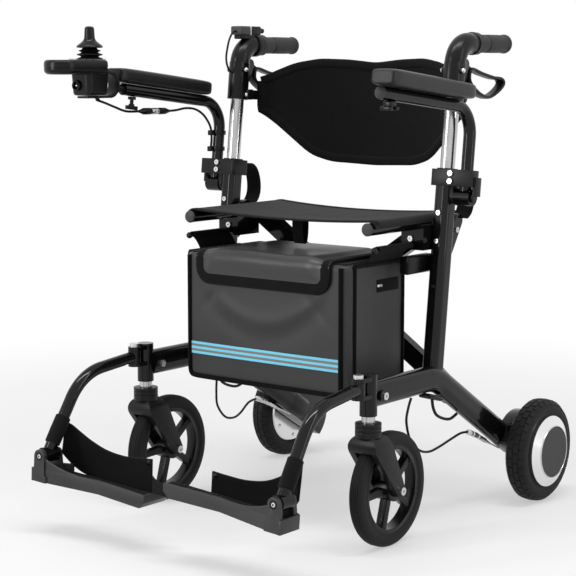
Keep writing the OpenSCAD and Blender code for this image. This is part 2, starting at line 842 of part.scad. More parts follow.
module hand_grip(side) {
  color("#3a3b3e") on_side(side) translate([upright_x, grip_y, grip_z]) rotate([-90, 0, 0]) difference() {
    union() {
      cylinder(h = grip_len, d = grip_d);
      cylinder(h = 10, r = collar_r);
    }
    translate([0, 0, -1]) cylinder(h = grip_len - 4, d = bar_d + 2 * fit);
  }
}

// Loop of the brake lever, as points behind and above its pivot
lever_loop = [[22, -8], [90, -23], [129, -25], [131, -37], [79, -59], [40, -47], [14, -30]];

module brake_lever(side) {
  pivot_y = bend_y + lever_v * cos(lean) + lever_u * sin(lean);
  pivot_z = tube_z - lever_v * sin(lean) + lever_u * cos(lean);
  color("#202124") on_side(side) translate([upright_x, pivot_y, pivot_z]) difference() {
    union() {
      along_x(-lever_w / 2, lever_w / 2) loop_band(lever_loop, 6.4);
      along_x(-lever_root_t / 2, lever_root_t / 2) bar_outline([0, 0], lever_loop[0], 7, 2.5);
      along_x(-lever_root_t / 2, lever_root_t / 2) bar_outline([0, 0], lever_loop[6], 6.6, 2.5);
    }
    rotate([0, 90, 0]) cylinder(h = 2 * lever_w, d = lever_pin_d + 2 * fit, center = true);
  }
}

// Arms

module arm_clamp(side) {
  wrap = clamp_wrap;
  cheek = arm_gap + arm_d / 2 + gap;
  color("#2b2c2f") on_side(side) on_upright() difference() {
    union() {
      translate([0, (upright_d / 2 + wrap - clamp_front) / 2, clamp_u]) linear_extrude(clamp_h)
        round_rect(upright_w + 2 * wrap, upright_d / 2 + wrap + clamp_front, 6);
      // Latch block in front of the arm tube, with a cheek outside it
      translate([0, -clamp_front, clamp_u]) cube([cheek + 9, clamp_front - arm_d / 2 - gap, clamp_h]);
      translate([cheek, -clamp_front, clamp_u]) cube([9, clamp_front + 6, clamp_h]);
      translate([cheek + 8, -8, clamp_u - 16]) cube([5, 18, clamp_h + 4]);
      // Plate and pin of the arm pivot
      translate([upright_w / 2, 0, 0]) along_x(0, arm_plate_t)
        bar_outline([0, arm_pivot_u], [0, clamp_u + 6], 13, 13);
      translate([upright_w / 2, 0, arm_pivot_u]) rotate([0, 90, 0])
        cylinder(h = arm_gap + arm_barrel_w / 2 + 2 - upright_w / 2, d = arm_pin_d);
      translate([arm_gap + arm_barrel_w / 2 + gap, 0, arm_pivot_u]) rotate([0, 90, 0])
        cylinder(h = 4, d = 18);
    }
    linear_extrude(upright_len + 20) round_rect(upright_w + 2 * fit, upright_d + 2 * fit, upright_r);
  }
}

module arm_tube(side) {
  barrel_in = upright_w / 2 + arm_plate_t + gap;
  color("#161719") on_side(side) on_upright() difference() {
    union() {
      translate([arm_gap, 0, arm_pivot_u]) cylinder(h = arm_u - arm_bend_r - arm_pivot_u, d = arm_d);
      translate([arm_gap, 0, 0]) arc_tube([-arm_bend_r, arm_u - arm_bend_r], arm_bend_r, 0, 90, arm_d);
      translate([arm_gap, -arm_reach, arm_u]) rotate([-90, 0, 0])
        cylinder(h = arm_reach - arm_bend_r, d = arm_d);
      translate([barrel_in, 0, arm_pivot_u]) rotate([0, 90, 0])
        cylinder(h = arm_gap + arm_barrel_w / 2 - barrel_in, d = arm_barrel_d);
    }
    translate([0, 0, arm_pivot_u]) rotate([0, 90, 0]) cylinder(h = 2 * arm_gap, d = arm_pin_d + 2 * fit);
    if (side < 0)
      translate([arm_gap, -arm_reach - 1, arm_u]) rotate([-90, 0, 0])
        cylinder(h = 41, d = joy_rod_d + 2 * fit);
  }
}

// Arm pad with a crowned top and drawn-in sides
module arm_pad(side) {
  rings = 7;
  pts = 24;
  seat_u = arm_u + arm_d / 2 + gap;
  function level(k) = seat_u + pad_h * k / (rings - 1);
  function draw_in(k) = 5 * pow(abs(2 * k / (rings - 1) - 0.9), 2.6);
  function ring_point(k, i) =
    let (
      a = i * 360 / pts,
      half_w = pad_w / 2 - draw_in(k),
      half_l = pad_l / 2 - draw_in(k),
      c = pow(abs(cos(a)), 0.35) * sign(cos(a)),
      s = pow(abs(sin(a)), 0.35) * sign(sin(a)),
      big = max(abs(c), abs(s))
    )
      [half_w * c * (1 - 0.12 * (1 - big)), half_l * s];
  corners = [
    for (k = [0:rings - 1])
      for (i = [0:pts - 1])
        [
          arm_gap + pad_x - arm_x + ring_point(k, i)[0],
          -pad_back - pad_l / 2 + ring_point(k, i)[1],
          level(k)
        ]
  ];
  walls = [
    for (k = [0:rings - 2])
      for (i = [0:pts - 1])
        let (a = k * pts + i, b = k * pts + (i + 1) % pts)
          each [[a, b + pts, b], [a, a + pts, b + pts]]
  ];
  under = [[for (i = [0:pts - 1]) i]];
  crown = [[for (i = [pts - 1:-1:0]) (rings - 1) * pts + i]];
  color("#1e1f22") on_side(side) on_upright()
    polyhedron(points = corners, faces = concat(walls, under, crown));
}

// Footrests

module on_hanger() {
  translate([head_x, -hanger_y, hanger_z]) rotate([0, 0, hanger_splay]) children();
}

module footrest_hanger(side) {
  lap_p1 = hanger_p1 + joint_lap * heading(hanger_pitch);
  lap_p2 = hanger_p2 - joint_lap * heading(hanger_pitch + hanger_turn);
  color("#141517") on_side(side) difference() {
    union() {
      on_hanger() {
        translate([0, 0, -hanger_eye_h / 2 - 2]) cylinder(h = hanger_eye_h + 4, d = hanger_eye_d);
        rod([0, hanger_p1[0] / 10, hanger_p1[1] / 10], [0, lap_p1[0], lap_p1[1]], hanger_d - 2 * joint_step);
        arc_tube(hanger_c, hanger_r, 90 + hanger_pitch, hanger_turn, hanger_d);
        rod([0, lap_p2[0], lap_p2[1]], [0, hanger_end[0], hanger_end[1]], hanger_d - 2 * joint_step);
      }
      translate([hinge_x, hinge_y, hinge_z]) rotate([90, 0, 0]) {
        cylinder(h = hinge_block_l, d = hinge_block_d, center = true);
        cylinder(h = hinge_block_l + 2 * plate_lug_t + 2 * gap, d = hinge_pin_d, center = true);
      }
    }
    translate([head_x, -hanger_y, hanger_z - 40]) cylinder(h = 80, d = hanger_pin_d + 2 * fit);
    // The eye is flat above and below, so that it turns between its lugs
    for (z = [hanger_eye_h / 2, -hanger_eye_h / 2 - 20])
      translate([head_x, -hanger_y, hanger_z + z]) cylinder(h = 20, d = 60);
  }
}

function plate_tilt(side) = side > 0 ? plate_tilt_left : plate_tilt_right;

// Stands children on the footplate hinge, at the angle that each plate hangs at
module on_plate_hinge(side) {
  translate([hinge_x, hinge_y, hinge_z]) rotate([0, plate_tilt(side), 0]) children();
}

module footplate(side) {
  front = -hinge_block_l / 2 - plate_lug_t - gap;
  back = front + plate_d;
  inner = plate_inner - hinge_x;
  r = plate_rim / 2;
  rim = [
    [plate_outer - r, front - 0.6 + r], [-125, front + 20 + r], [inner + r, front + 11 + r],
    [inner + r, back - 4 - r], [-125, back - r], [-40, back - r],
    [plate_outer - r, hinge_block_l / 2 + plate_lug_t + 1.5 - r]
  ];
  color("#2d2e31") on_side(side) on_plate_hinge(side) difference() {
    union() {
      translate([0, 0, -plate_drop]) {
        linear_extrude(plate_h) loop_band(rim, plate_rim);
        linear_extrude(plate_floor) polygon(rim);
      }
      for (y = [front, hinge_block_l / 2 + gap])
        along_y(y, y + plate_lug_t) {
          // The rear lug is lower, under the footrest tube
          bar_outline([0, 0], [0, -plate_drop + 13], y > 0 ? 8.5 : 12, 13);
          translate([-plate_outer + 0.5, -plate_drop]) square([2 * plate_outer - 1, plate_h / 2]);
        }
    }
    rotate([90, 0, 0]) cylinder(h = 2 * plate_d, d = hinge_pin_d + 2 * fit, center = true);
    // Bevel under the inner end, which passes the other plate while the chair folds
    along_y(front - 1, back + 1) polygon([
      [inner - 1, -plate_drop - 1], [inner + plate_bevel, -plate_drop - 1],
      [inner - 1, -plate_drop + plate_bevel]
    ]);
    // Clearance round the hinge block
    rotate([90, 0, 0]) cylinder(h = hinge_block_l + 2 * gap, d = hinge_block_d + 2, center = true);
  }
}

// Heel strap, looped on the footrest tube and fixed behind the footplate
module heel_strap(side) {
  loop_t = 2;
  loop_low = 19;
  loop_h = 44;
  a = hanger_pitch + hanger_turn;
  back = hinge_y - hinge_block_l / 2 - plate_lug_t + plate_d;
  color("#18191b") on_side(side) {
    on_hanger() translate([0, hanger_end[0], hanger_end[1]])
      rotate([a - 90, 0, 0]) translate([0, 0, loop_low])
      difference() {
        cylinder(h = loop_h, d = hanger_d + 2 * (gap + loop_t));
        translate([0, 0, -1]) cylinder(h = loop_h + 2, d = hanger_d + 2 * gap);
      }
    band([
      [hinge_x - 3, hinge_y + 40, hinge_z + 22, hinge_z + 46],
      [hinge_x - 34, hinge_y + 46, hinge_z + 4, hinge_z + 34],
      [hinge_x - 74, hinge_y + 53, hinge_z - 8, hinge_z + 21],
      [hinge_x - 124, back + 4, hinge_z - 24, hinge_z + 11],
      [hinge_x - 164, back + 3.5, hinge_z - 34, hinge_z + 8],
      [hinge_x - 194, back + 3, hinge_z - 36, hinge_z + 7]
    ], 2.4);
  }
}

// Cross brace, each bar with the seat rail that it lifts

module cross_brace(side) {
  y0 = layer_y(side);
  foot = [brace_x, brace_z];
  top = [-rail_x, rail_z];
  color("#17181a") on_side(side) {
    difference() {
      along_y(y0, y0 + brace_t) bar_outline(foot, top, brace_w / 2, brace_w / 2);
      translate([brace_x, y0 - 1, brace_z]) rotate([-90, 0, 0])
        cylinder(h = brace_t + 2, d = brace_pin_d + 2 * fit);
      translate([0, y0 - 1, brace_cross_z]) rotate([-90, 0, 0])
        cylinder(h = brace_t + 2, d = brace_pin_d + 2 * fit);
      translate([-rail_x - 60, y0 - 1, rail_z]) cube([120, brace_t + 2, 60]);
      translate([-rail_x - brace_w, y0 - 1, rail_z - 60]) cube([brace_w - rail_d / 2, brace_t + 2, 120]);
    }
    translate([-rail_x, -rail_front, rail_z]) rotate([-90, 0, 0])
      cylinder(h = rail_front + rail_back, d = rail_d);
  }
}

module brace_pin() {
  y0 = layer_y(1);
  color("silver") {
    translate([0, y0 - 0.5, brace_cross_z]) rotate([-90, 0, 0])
      cylinder(h = 2 * brace_t + brace_gap + 1, d = brace_pin_d);
    for (y = [y0 - 6, y0 + 2 * brace_t + brace_gap + gap])
      translate([0, y, brace_cross_z]) rotate([-90, 0, 0]) cylinder(h = 6 - gap, d = 18);
    translate([0, y0 + brace_t + gap, brace_cross_z]) rotate([-90, 0, 0])
      cylinder(h = brace_gap - 2 * gap, d = 24);
  }
}

// Seat cloth, which rests on both rails and sags between them
module seat_sling() {
  steps = 16;
  sag = 10;
  half = rail_x + 3;
  top = rail_z + rail_d / 2 + 2 * gap;
  function dip(x) = sag * (1 - pow(x / half, 2));
  edge = [for (i = [0:steps]) let (x = -half + 2 * half * i / steps) [x, top - dip(x)]];
  upper = [for (i = [steps:-1:0]) edge[i] + [0, sling_t]];
  color("#2b2c2f") along_y(-rail_front + 6, rail_back + 10) polygon(concat(edge, upper));
}

// Backrest web between the handle posts, bowed to the rear
module backrest() {
  y_end = back_y;
  r = (back_half_w * back_half_w + back_sag * back_sag) / (2 * back_sag);
  z0 = grip_z;
  // Shares of the half width, with heights below the grips
  half = [
    [0, -42], [0.259, -36], [0.517, -34], [0.724, -42], [0.884, -58], [1, -71],
    [1, -121], [0.884, -142], [0.724, -176], [0.586, -204], [0.414, -216], [0, -220]
  ];
  right = [for (p = half) [p[0] * back_half_w, p[1]]];
  outline = concat(right, [for (i = [len(right) - 2:-1:1]) [-right[i][0], right[i][1]]]);
  color("#131315") intersection() {
    translate([0, 0, z0]) along_y(y_end - 20, y_end + back_sag + 30) polygon(outline);
    translate([0, y_end + back_sag - r, z0 - 300]) difference() {
      cylinder(h = 400, r = r, $fn = 180);
      translate([0, 0, -1]) cylinder(h = 402, r = r - back_t, $fn = 180);
    }
  }
}

// Bag under the seat, hung from the rods

module bag_body() {
  back = bag_d - bag_front;
  hem_y = gap - rod_front + rod_ball_d / 2;
  hem_l = saddle_y - 4 - hem_y;
  color("#3b3c3f") {
    difference() {
      translate([0, back - bag_d / 2, bag_z]) linear_extrude(bag_h) round_rect(bag_w, bag_d, bag_corner);
      translate([0, back - bag_d / 2, bag_z + bag_t]) linear_extrude(bag_h)
        round_rect(bag_w - 2 * bag_t, bag_d - 2 * bag_t, bag_corner - bag_t);
      translate([-bag_w, back - bag_d / 2 - slot_l / 2 + 24, bag_top - 54])
        cube([2 * bag_w, slot_l, slot_h]);
    }
    // Side hems that carry the bag on the rods
    for (side = [1, -1])
      on_side(side) along_y(hem_y, hem_y + hem_l) difference() {
        bar_outline([bag_w / 2 - 2, bag_top - 30], [rod_x, rod_z], 1.9, rod_d / 2 + gap + 1.6);
        translate([rod_x, rod_z]) circle(d = rod_d + 2 * gap);
      }
  }
}

module bag_flap() {
  back = bag_d - bag_front;
  front = -bag_front - gap;
  lip_r = 30;
  color("#4a4b4f") {
    translate([-flap_w / 2, front - flap_t, bag_top + gap])
      cube([flap_w, back - front + flap_t - 6, flap_t]);
    translate([0, 0, bag_top + gap + flap_t]) along_y(front - flap_t, front) {
      translate([-flap_w / 2, lip_r - flap_lip - flap_t]) square([flap_w, flap_lip + flap_t - lip_r]);
      translate([lip_r - flap_w / 2, -flap_lip - flap_t]) square([flap_w - 2 * lip_r, flap_lip]);
      for (x = [-1, 1]) translate([x * (flap_w / 2 - lip_r), lip_r - flap_lip - flap_t]) circle(lip_r);
    }
  }
}

// Case for the battery and the motor controller, on the inner face of the left upright
module battery_case() {
  case_w = 20;
  case_l = 78;
  case_h = 32;
  color("#121214") translate([upright_x - upright_w / 2 - gap - case_w / 2, 36, rail_z - saddle_h - 24 - gap])
    rotate([90, 0, 0]) translate([0, 0, -case_l / 2]) linear_extrude(case_l) round_rect(case_w, case_h, 5);
}

// Joystick on the right arm, drawn on the left side and mirrored

module joystick_mount() {
  rod_y = bracket_y + bracket_r + 2;
  color("#1b1c1f") on_side(-1) {
    along_x(joy_x - bracket_w / 2, joy_x + bracket_w / 2) {
      intersection() {
        translate([bracket_y, bracket_z]) difference() {
          circle(bracket_r + bracket_t);
          circle(bracket_r);
        }
        translate([bracket_y, bracket_z - 40]) square([60, 80]);
      }
      translate([joy_y + joy_box_l / 2 - 8, bracket_z + bracket_r])
        square([bracket_y - joy_y - joy_box_l / 2 + 8.5, bracket_t]);
      translate([joy_y - joy_box_l / 2 + 8, bracket_z - bracket_r - bracket_t])
        square([bracket_y - joy_y + joy_box_l / 2 - 7.5, bracket_t]);
    }
    // Rod that slides in the arm tube, and the thumb screw that clamps it
    rod(
      [arm_x, arm_front_y + 38, arm_front_z - 38 * tan(lean)],
      [arm_x, rod_y, arm_front_z + (arm_front_y - rod_y) * tan(lean)], joy_rod_d
    );
    on_upright() translate([arm_gap, -arm_reach + 26, arm_u - arm_d / 2]) {
      translate([0, 0, -5.7]) cylinder(h = 5, d = 15);
      translate([0, 0, -14]) cylinder(h = 8.5, d = 7);
      translate([0, 0, -21]) cylinder(h = 7.2, d = 11);
      translate([-3, -14, -24]) cube([5, 28, 7]);
    }
  }
}

module joystick_housing() {
  box_top = joy_top - joy_slab_h;
  color("#222326") on_side(-1) difference() {
    union() {
      // Upper shell with a round nose that points forward
      translate([joy_x, joy_y, box_top]) linear_extrude(joy_slab_h) {
        translate([0, -joy_l + joy_box_l / 2 - 10 + joy_w / 2]) circle(d = joy_w);
        translate([-joy_w / 2, -joy_l + joy_box_l / 2 - 10 + joy_w / 2])
          square([joy_w, joy_l - joy_w / 2 - 6]);
        translate([0, joy_box_l / 2 - 22]) round_rect(joy_w, 24, 8);
      }
      // Lower box with the charging socket
      translate([joy_x, joy_y, box_top - joy_box_h + 1])
        linear_extrude(joy_box_h) round_rect(joy_box_w, joy_box_l, 7);
      translate([joy_x + 6, joy_y - joy_box_l / 2 + 2, box_top - joy_box_h / 2]) rotate([90, 0, 0])
        cylinder(h = 6, d = 19);
    }
    translate([joy_x + 6, joy_y - joy_box_l / 2 - 8, box_top - joy_box_h / 2]) rotate([-90, 0, 0])
      cylinder(h = 14, d = 13);
    // Well for the gimbal
    translate([joy_x, joy_y, joy_top - 22]) cylinder(h = 30, r = gimbal_r + 6);
  }
}

module joystick_gimbal() {
  z = joy_top - 8;
  color("#8d9093") on_side(-1) translate([joy_x, joy_y, z]) {
    difference() {
      union() {
        cylinder(h = 8, r = gimbal_r + 1, center = true);
        rotate([0, 90, 0]) cylinder(h = 2 * (gimbal_r + 6) - 2 * gap, d = 4, center = true);
      }
      cylinder(h = 10, r = ball_r + 2, center = true);
    }
  }
}

module joystick_stick() {
  z = joy_top - 8;
  color("#26272a") on_side(-1) translate([joy_x, joy_y, z]) {
    sphere(r = ball_r);
    rotate([90, 0, 0]) cylinder(h = 2 * (ball_r + 2) - 2 * gap, d = 4, center = true);
    cylinder(h = 8 + stick_h - stick_r, r = 4.5);
    translate([0, 0, 8 + skirt_z]) rotate_extrude() polygon([
      [0, 4], [skirt_r - 2, 4], [skirt_r, 5.5], [skirt_r - 3, 9], [stick_r + 3, 14.5], [stick_r, 17], [0, 17]
    ]);
    translate([0, 0, 8 + skirt_z + 12]) cylinder(h = stick_h - skirt_z - 12 - stick_r / 2, r = stick_r);
    translate([0, 0, 8 + stick_h - stick_r]) intersection() {
      sphere(r = stick_r + 2);
      cylinder(h = stick_r, r = stick_r - 0.5);
    }
  }
}

// Bellows boot with round ribs, a closed sleeve round the stick
module joystick_boot() {
  neck = 15;
  rib_h = skirt_z / boot_ribs;
  color("#17181a") on_side(-1) translate([joy_x, joy_y, joy_top + gap]) rotate_extrude() difference() {
    union() {
      translate([neck, 0]) square([3, skirt_z + 2]);
      for (i = [0:boot_ribs - 1])
        translate([neck + 1, (i + 0.5) * rib_h - 1.4]) {
          square([skirt_r - neck - 3, 2.8]);
          translate([skirt_r - neck - 3, 1.4]) circle(1.4);
        }
    }
  }
}

// Cable from the joystick to the arm tube, with its plug connector and tie
module joystick_cable() {
  plug = joystick_route[len(joystick_route) - 1];
  socket = joystick_route_back[0];
  color("#101012") on_side(-1) {
    cable(joystick_route, cable_d, joy_x);
    cable(joystick_route_back, cable_d, joy_x);
    rod([joy_x, plug[0] + gap, plug[1]], [joy_x, (plug[0] + socket[0]) / 2, (plug[1] + socket[1]) / 2], 13);
    rod(
      [joy_x, (plug[0] + socket[0]) / 2 + gap, (plug[1] + socket[1]) / 2],
      [joy_x, socket[0] - gap, socket[1]], 12
    );
  }
}

// Attendant's control on the right handle, with its cable
module control_box() {
  base = grip_z + elbow_d / 2 + gap;
  band_y = elbow_exit_y - elbow_ring - 15;
  color("#2c2d30") on_side(-1) {
    difference() {
      translate([upright_x, control_y + control_l / 2, base + control_h / 2]) rotate([90, 0, 0])
        translate([0, 0, -control_l / 2]) linear_extrude(control_l) round_rect(control_w, control_h, 3);
      translate([upright_x, control_y + control_l - button_in - 5, base + control_h / 2]) rotate([-90, 0, 0])
        cylinder(h = 20, d = button_d + 2 * gap);
      // Clearance over the exit ring of the elbow
      translate([upright_x, elbow_exit_y - elbow_ring - 2 * gap, grip_z]) rotate([-90, 0, 0])
        cylinder(h = 30, d = elbow_d + 3 + 2 * gap);
    }
    translate([upright_x, band_y, grip_z]) rotate([-90, 0, 0]) difference() {
      cylinder(h = 13, d = elbow_d + 7);
      translate([0, 0, -1]) cylinder(h = 15, d = elbow_d + 2 * gap);
    }
    cable(control_route, cable_d - 0.5, upright_x);
  }
}

module control_button() {
  base = grip_z + elbow_d / 2 + gap;
  color("#0e0e10") on_side(-1)
    translate([upright_x, control_y + control_l - button_in, base + control_h / 2]) rotate([-90, 0, 0])
      cylinder(h = button_l, d = button_d);
}

side_frame(1);  // side_frame_left
side_frame(-1);  // side_frame_right
frame_bolts(1);  // frame_bolts_left
frame_bolts(-1);  // frame_bolts_right
caster_fork(1);  // caster_fork_left
caster_fork(-1);  // caster_fork_right
caster_axle(1);  // caster_axle_left
caster_axle(-1);  // caster_axle_right
caster_rim(1);  // caster_rim_left
caster_rim(-1);  // caster_rim_right
caster_tyre(1);  // caster_tyre_left
caster_tyre(-1);  // caster_tyre_right
rear_tyre(1);  // rear_tyre_left
rear_tyre(-1);  // rear_tyre_right
hub_motor(1);  // hub_motor_left
hub_motor(-1);  // hub_motor_right
hub_cap(1);  // hub_cap_left
hub_cap(-1);  // hub_cap_right
brake_housing(1);  // brake_housing_left
brake_housing(-1);  // brake_housing_right
rear_cables(1);  // rear_cables_left
rear_cables(-1);  // rear_cables_right
belt_strap(1);  // belt_strap_left
belt_strap(-1);  // belt_strap_right
handle_post(1);  // handle_post_left
handle_post(-1);  // handle_post_right
handle_elbow(1);  // handle_elbow_left
handle_elbow(-1);  // handle_elbow_right
hand_grip(1);  // hand_grip_left
hand_grip(-1);  // hand_grip_right
brake_lever(1);  // brake_lever_left
brake_lever(-1);  // brake_lever_right
arm_clamp(1);  // arm_clamp_left
arm_clamp(-1);  // arm_clamp_right
arm_tube(1);  // arm_tube_left
arm_tube(-1);  // arm_tube_right
arm_pad(1);  // arm_pad_left
arm_pad(-1);  // arm_pad_right
footrest_hanger(1);  // footrest_hanger_left
footrest_hanger(-1);  // footrest_hanger_right
footplate(1);  // footplate_left
footplate(-1);  // footplate_right
heel_strap(1);  // heel_strap_left
heel_strap(-1);  // heel_strap_right
cross_brace(1);  // cross_brace_left
cross_brace(-1);  // cross_brace_right
brace_pin();
seat_sling();
backrest();
bag_body();
bag_flap();
battery_case();
joystick_mount();
joystick_housing();
joystick_gimbal();
joystick_stick();
joystick_boot();
joystick_cable();
control_box();
control_button();
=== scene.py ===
# %% [markdown]
# A folding rollator transport chair, dressed over its solid model.
# The solid model gives every place and size, and this lesson gives each surface its finish.
# Rigid pieces keep their solids, some with softer edges. Cloth, rubber, cables and trim are modelled here.

# %% Load the frame
import math

import bpy
from mathutils import Matrix, Vector


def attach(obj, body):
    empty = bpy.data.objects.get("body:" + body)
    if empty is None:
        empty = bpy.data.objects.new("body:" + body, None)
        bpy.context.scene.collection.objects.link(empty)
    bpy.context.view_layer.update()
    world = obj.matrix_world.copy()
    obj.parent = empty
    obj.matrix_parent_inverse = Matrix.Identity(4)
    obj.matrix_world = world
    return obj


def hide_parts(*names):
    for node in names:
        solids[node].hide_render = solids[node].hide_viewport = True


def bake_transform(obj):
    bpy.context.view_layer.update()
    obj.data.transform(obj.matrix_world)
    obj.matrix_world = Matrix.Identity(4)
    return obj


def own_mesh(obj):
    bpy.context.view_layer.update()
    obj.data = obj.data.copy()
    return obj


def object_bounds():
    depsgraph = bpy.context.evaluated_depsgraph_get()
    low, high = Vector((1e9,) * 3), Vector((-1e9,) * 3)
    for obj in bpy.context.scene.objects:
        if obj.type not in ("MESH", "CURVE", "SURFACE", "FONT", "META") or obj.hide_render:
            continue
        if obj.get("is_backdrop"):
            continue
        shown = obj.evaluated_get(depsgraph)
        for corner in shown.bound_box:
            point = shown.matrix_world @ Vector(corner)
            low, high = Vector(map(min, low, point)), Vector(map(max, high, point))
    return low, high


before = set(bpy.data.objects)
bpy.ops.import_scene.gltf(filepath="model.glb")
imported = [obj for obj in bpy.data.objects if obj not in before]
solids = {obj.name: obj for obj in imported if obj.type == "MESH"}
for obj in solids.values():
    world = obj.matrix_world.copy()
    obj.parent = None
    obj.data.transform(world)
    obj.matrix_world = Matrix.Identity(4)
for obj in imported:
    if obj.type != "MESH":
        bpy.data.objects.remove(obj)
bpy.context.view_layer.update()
mm = 0.001
sides = (("left", 1), ("right", -1))

# Places that several pieces share, in millimetres
handle_x, grip_z = 246, 857
lever_y, lever_z = 134.72, 819.98
upright_y, upright_z, lean = 50, 271, math.radians(6.4)
arm_x, arm_pivot_y, arm_pivot_z = 287, 85.78, 590
caster_x, rail_out, rail_height = 254, 201, 541
stick_x, cable_x = -292, 250
rear_x, rear_y, rear_z = 304, 331, 97
tape_low, tape_height = 294.8, 22.4

# %% [markdown]
# The camera stands in front of the chair's left side, a little above the seat, with a long lens.
# Its place was solved from the wheels, tubes and seat rails of the photographed chair.

# %% Camera
turn, dip = math.radians(38.133), math.radians(7.6875)
away = Vector((math.sin(turn) * math.cos(dip), -math.cos(turn) * math.cos(dip), math.sin(dip)))
bpy.ops.object.camera_add(location=(1.84845, -2.40508, 0.82460))
camera = bpy.context.object
camera.rotation_euler = (-away).to_track_quat("-Z", "Y").to_euler()
camera.data.sensor_width = 36
camera.data.lens = 104.67
bpy.context.scene.camera = camera
bpy.context.scene.view_settings.view_transform = "Standard"
print("lens:", camera.data.lens)

# %% [markdown]
# A studio for black objects works by reflection: pale panels stand where the tubes mirror them. A long
# strip hangs overhead and draws the bright line along each tube. Narrower panels stand at the left and in
# front. What the eye and the mirrors see of the world is plain white, and its light on the object is kept
# lower.

# %% Light
def panel(name, place, target, size, power):
    bpy.ops.object.light_add(type="AREA", location=place)
    lamp = bpy.context.object
    lamp.name = name
    lamp.data.shape = "RECTANGLE"
    lamp.data.size, lamp.data.size_y = size
    lamp.data.energy = power
    lamp.rotation_euler = (Vector(target) - Vector(place)).to_track_quat("-Z", "Y").to_euler()


panel("overhead", (0.3, -0.5, 2.7), (0, 0, 0.4), (2.6, 0.3), 38)
panel("left_panel", (2.6, 0.5, 1.3), (0.2, 0, 0.4), (0.22, 2.0), 11)
panel("front_panel", (-1.15, -2.7, 1.3), (0, 0, 0.45), (0.45, 1.8), 32)

world = bpy.data.worlds.new("studio")
bpy.context.scene.world = world
world.use_nodes = True
sky = world.node_tree.nodes["Background"]
paths = world.node_tree.nodes.new("ShaderNodeLightPath")
seen = paths.outputs["Is Camera Ray"]
for ray in ("Is Glossy Ray", "Is Transmission Ray"):
    either = world.node_tree.nodes.new("ShaderNodeMath")
    either.operation = "MAXIMUM"
    world.node_tree.links.new(seen, either.inputs[0])
    world.node_tree.links.new(paths.outputs[ray], either.inputs[1])
    seen = either.outputs[0]
ramp = world.node_tree.nodes.new("ShaderNodeMapRange")
ramp.inputs["To Min"].default_value = 0.4
ramp.inputs["To Max"].default_value = 1.0
world.node_tree.links.new(seen, ramp.inputs["Value"])
world.node_tree.links.new(ramp.outputs["Result"], sky.inputs["Strength"])
sky.inputs["Color"].default_value = (1, 1, 1, 1)

# %% [markdown]
# Finishes are written as expressions. A Tone is any value on its way through a material,
# and arithmetic on it adds the Math nodes. A Look is one material: its node method adds any other node,
# and its mottle method spreads two colours and a range of roughness over the surface.

# %% Shader helpers
class Tone:
    def __init__(self, look, socket):
        self.look, self.socket = look, socket

    def maths(self, kind, other=None, swapped=False):
        pair = [other, self] if swapped else [self, other]
        values = {i: v for i, v in enumerate(pair) if v is not None}
        return self.look.node("ShaderNodeMath", {"operation": kind}, values)

    def __add__(self, other):
        return self.maths("ADD", other)

    def __sub__(self, other):
        return self.maths("SUBTRACT", other)

    def __rsub__(self, other):
        return self.maths("SUBTRACT", other, True)

    def __mul__(self, other):
        return self.maths("MULTIPLY", other)

    def __truediv__(self, other):
        return self.maths("DIVIDE", other)

    def __gt__(self, other):
        return self.maths("GREATER_THAN", other)


class Look:
    def __init__(self, name, **sockets):
        self.material = bpy.data.materials.new(name)
        self.material.use_nodes = True
        self.tree = self.material.node_tree
        self.shader = self.tree.nodes["Principled BSDF"]
        self.feed(**sockets)

    def node(self, kind, settings=None, values=None, output=0):
        made = self.tree.nodes.new(kind)
        for key, value in (settings or {}).items():
            setattr(made, key, value)
        for key, value in (values or {}).items():
            self.join(value, made.inputs[key])
        return Tone(self, made.outputs[output])

    def join(self, value, socket):
        if isinstance(value, Tone):
            self.tree.links.new(value.socket, socket)
        else:
            socket.default_value = value

    def feed(self, **sockets):
        for key, value in sockets.items():
            self.join(value, self.shader.inputs[key.replace("_", " ")])
        return self

    def place(self, stretch=(1, 1, 1), shift=(0, 0, 0)):
        spot = self.node("ShaderNodeTexCoord", output="Object")
        return self.node("ShaderNodeMapping", values={"Vector": spot, "Scale": stretch, "Location": shift})

    def axes(self, shift=(0, 0, 0)):
        parts = self.node("ShaderNodeSeparateXYZ", values={0: self.place(shift=shift)}).socket.node
        return [Tone(self, parts.outputs[i]) for i in range(3)]

    def grain(self, scale, detail, stretch=(1, 1, 1)):
        values = {"Vector": self.place(stretch), "Scale": scale, "Detail": detail}
        return self.node("ShaderNodeTexNoise", values=values)

    def cells(self, scale):
        return self.node("ShaderNodeTexVoronoi", values={"Vector": self.place(), "Scale": scale})

    def between(self, share, first, second):
        return self.node("ShaderNodeMix", {"data_type": "RGBA"}, {0: share, 6: first, 7: second}, output=2)

    def mottle(self, tone, first, second, roughness, wear=None):
        rough = range_of(tone if wear is None else wear, *roughness)
        return self.feed(Base_Color=self.between(tone, first, second), Roughness=rough)

    def raised(self, height, depth, strength):
        values = {"Height": height, "Distance": depth, "Strength": strength}
        return self.feed(Normal=self.node("ShaderNodeBump", values=values))


def rgb(level, cool=0.0):
    return (level, level, level + cool, 1)


def range_of(tone, low, high):
    return tone * (high - low) + low


print("helpers ready")

# %% [markdown]
# Metal and plastic. The frame is gloss black paint with a faint orange peel under a clear coat.
# The forks and castings are satin. Posts are polished tube with streaks along their length.
# Mouldings carry a fine spark-eroded grain, which shows as a broken sheen.

# %% Paint and metal
def gloss_paint():
    look = Look("frame_gloss_black", Specular_IOR_Level=0.06, Coat_Roughness=0.05)
    peel = look.grain(260, 2)
    dust = look.grain(9, 5)
    look.mottle(dust, rgb(0.002), rgb(0.005, cool=0.0005), (0.16, 0.24))
    look.feed(Coat_Weight=range_of(dust, 0.47, 0.38))
    return look.raised(peel, 0.00004, 0.15)


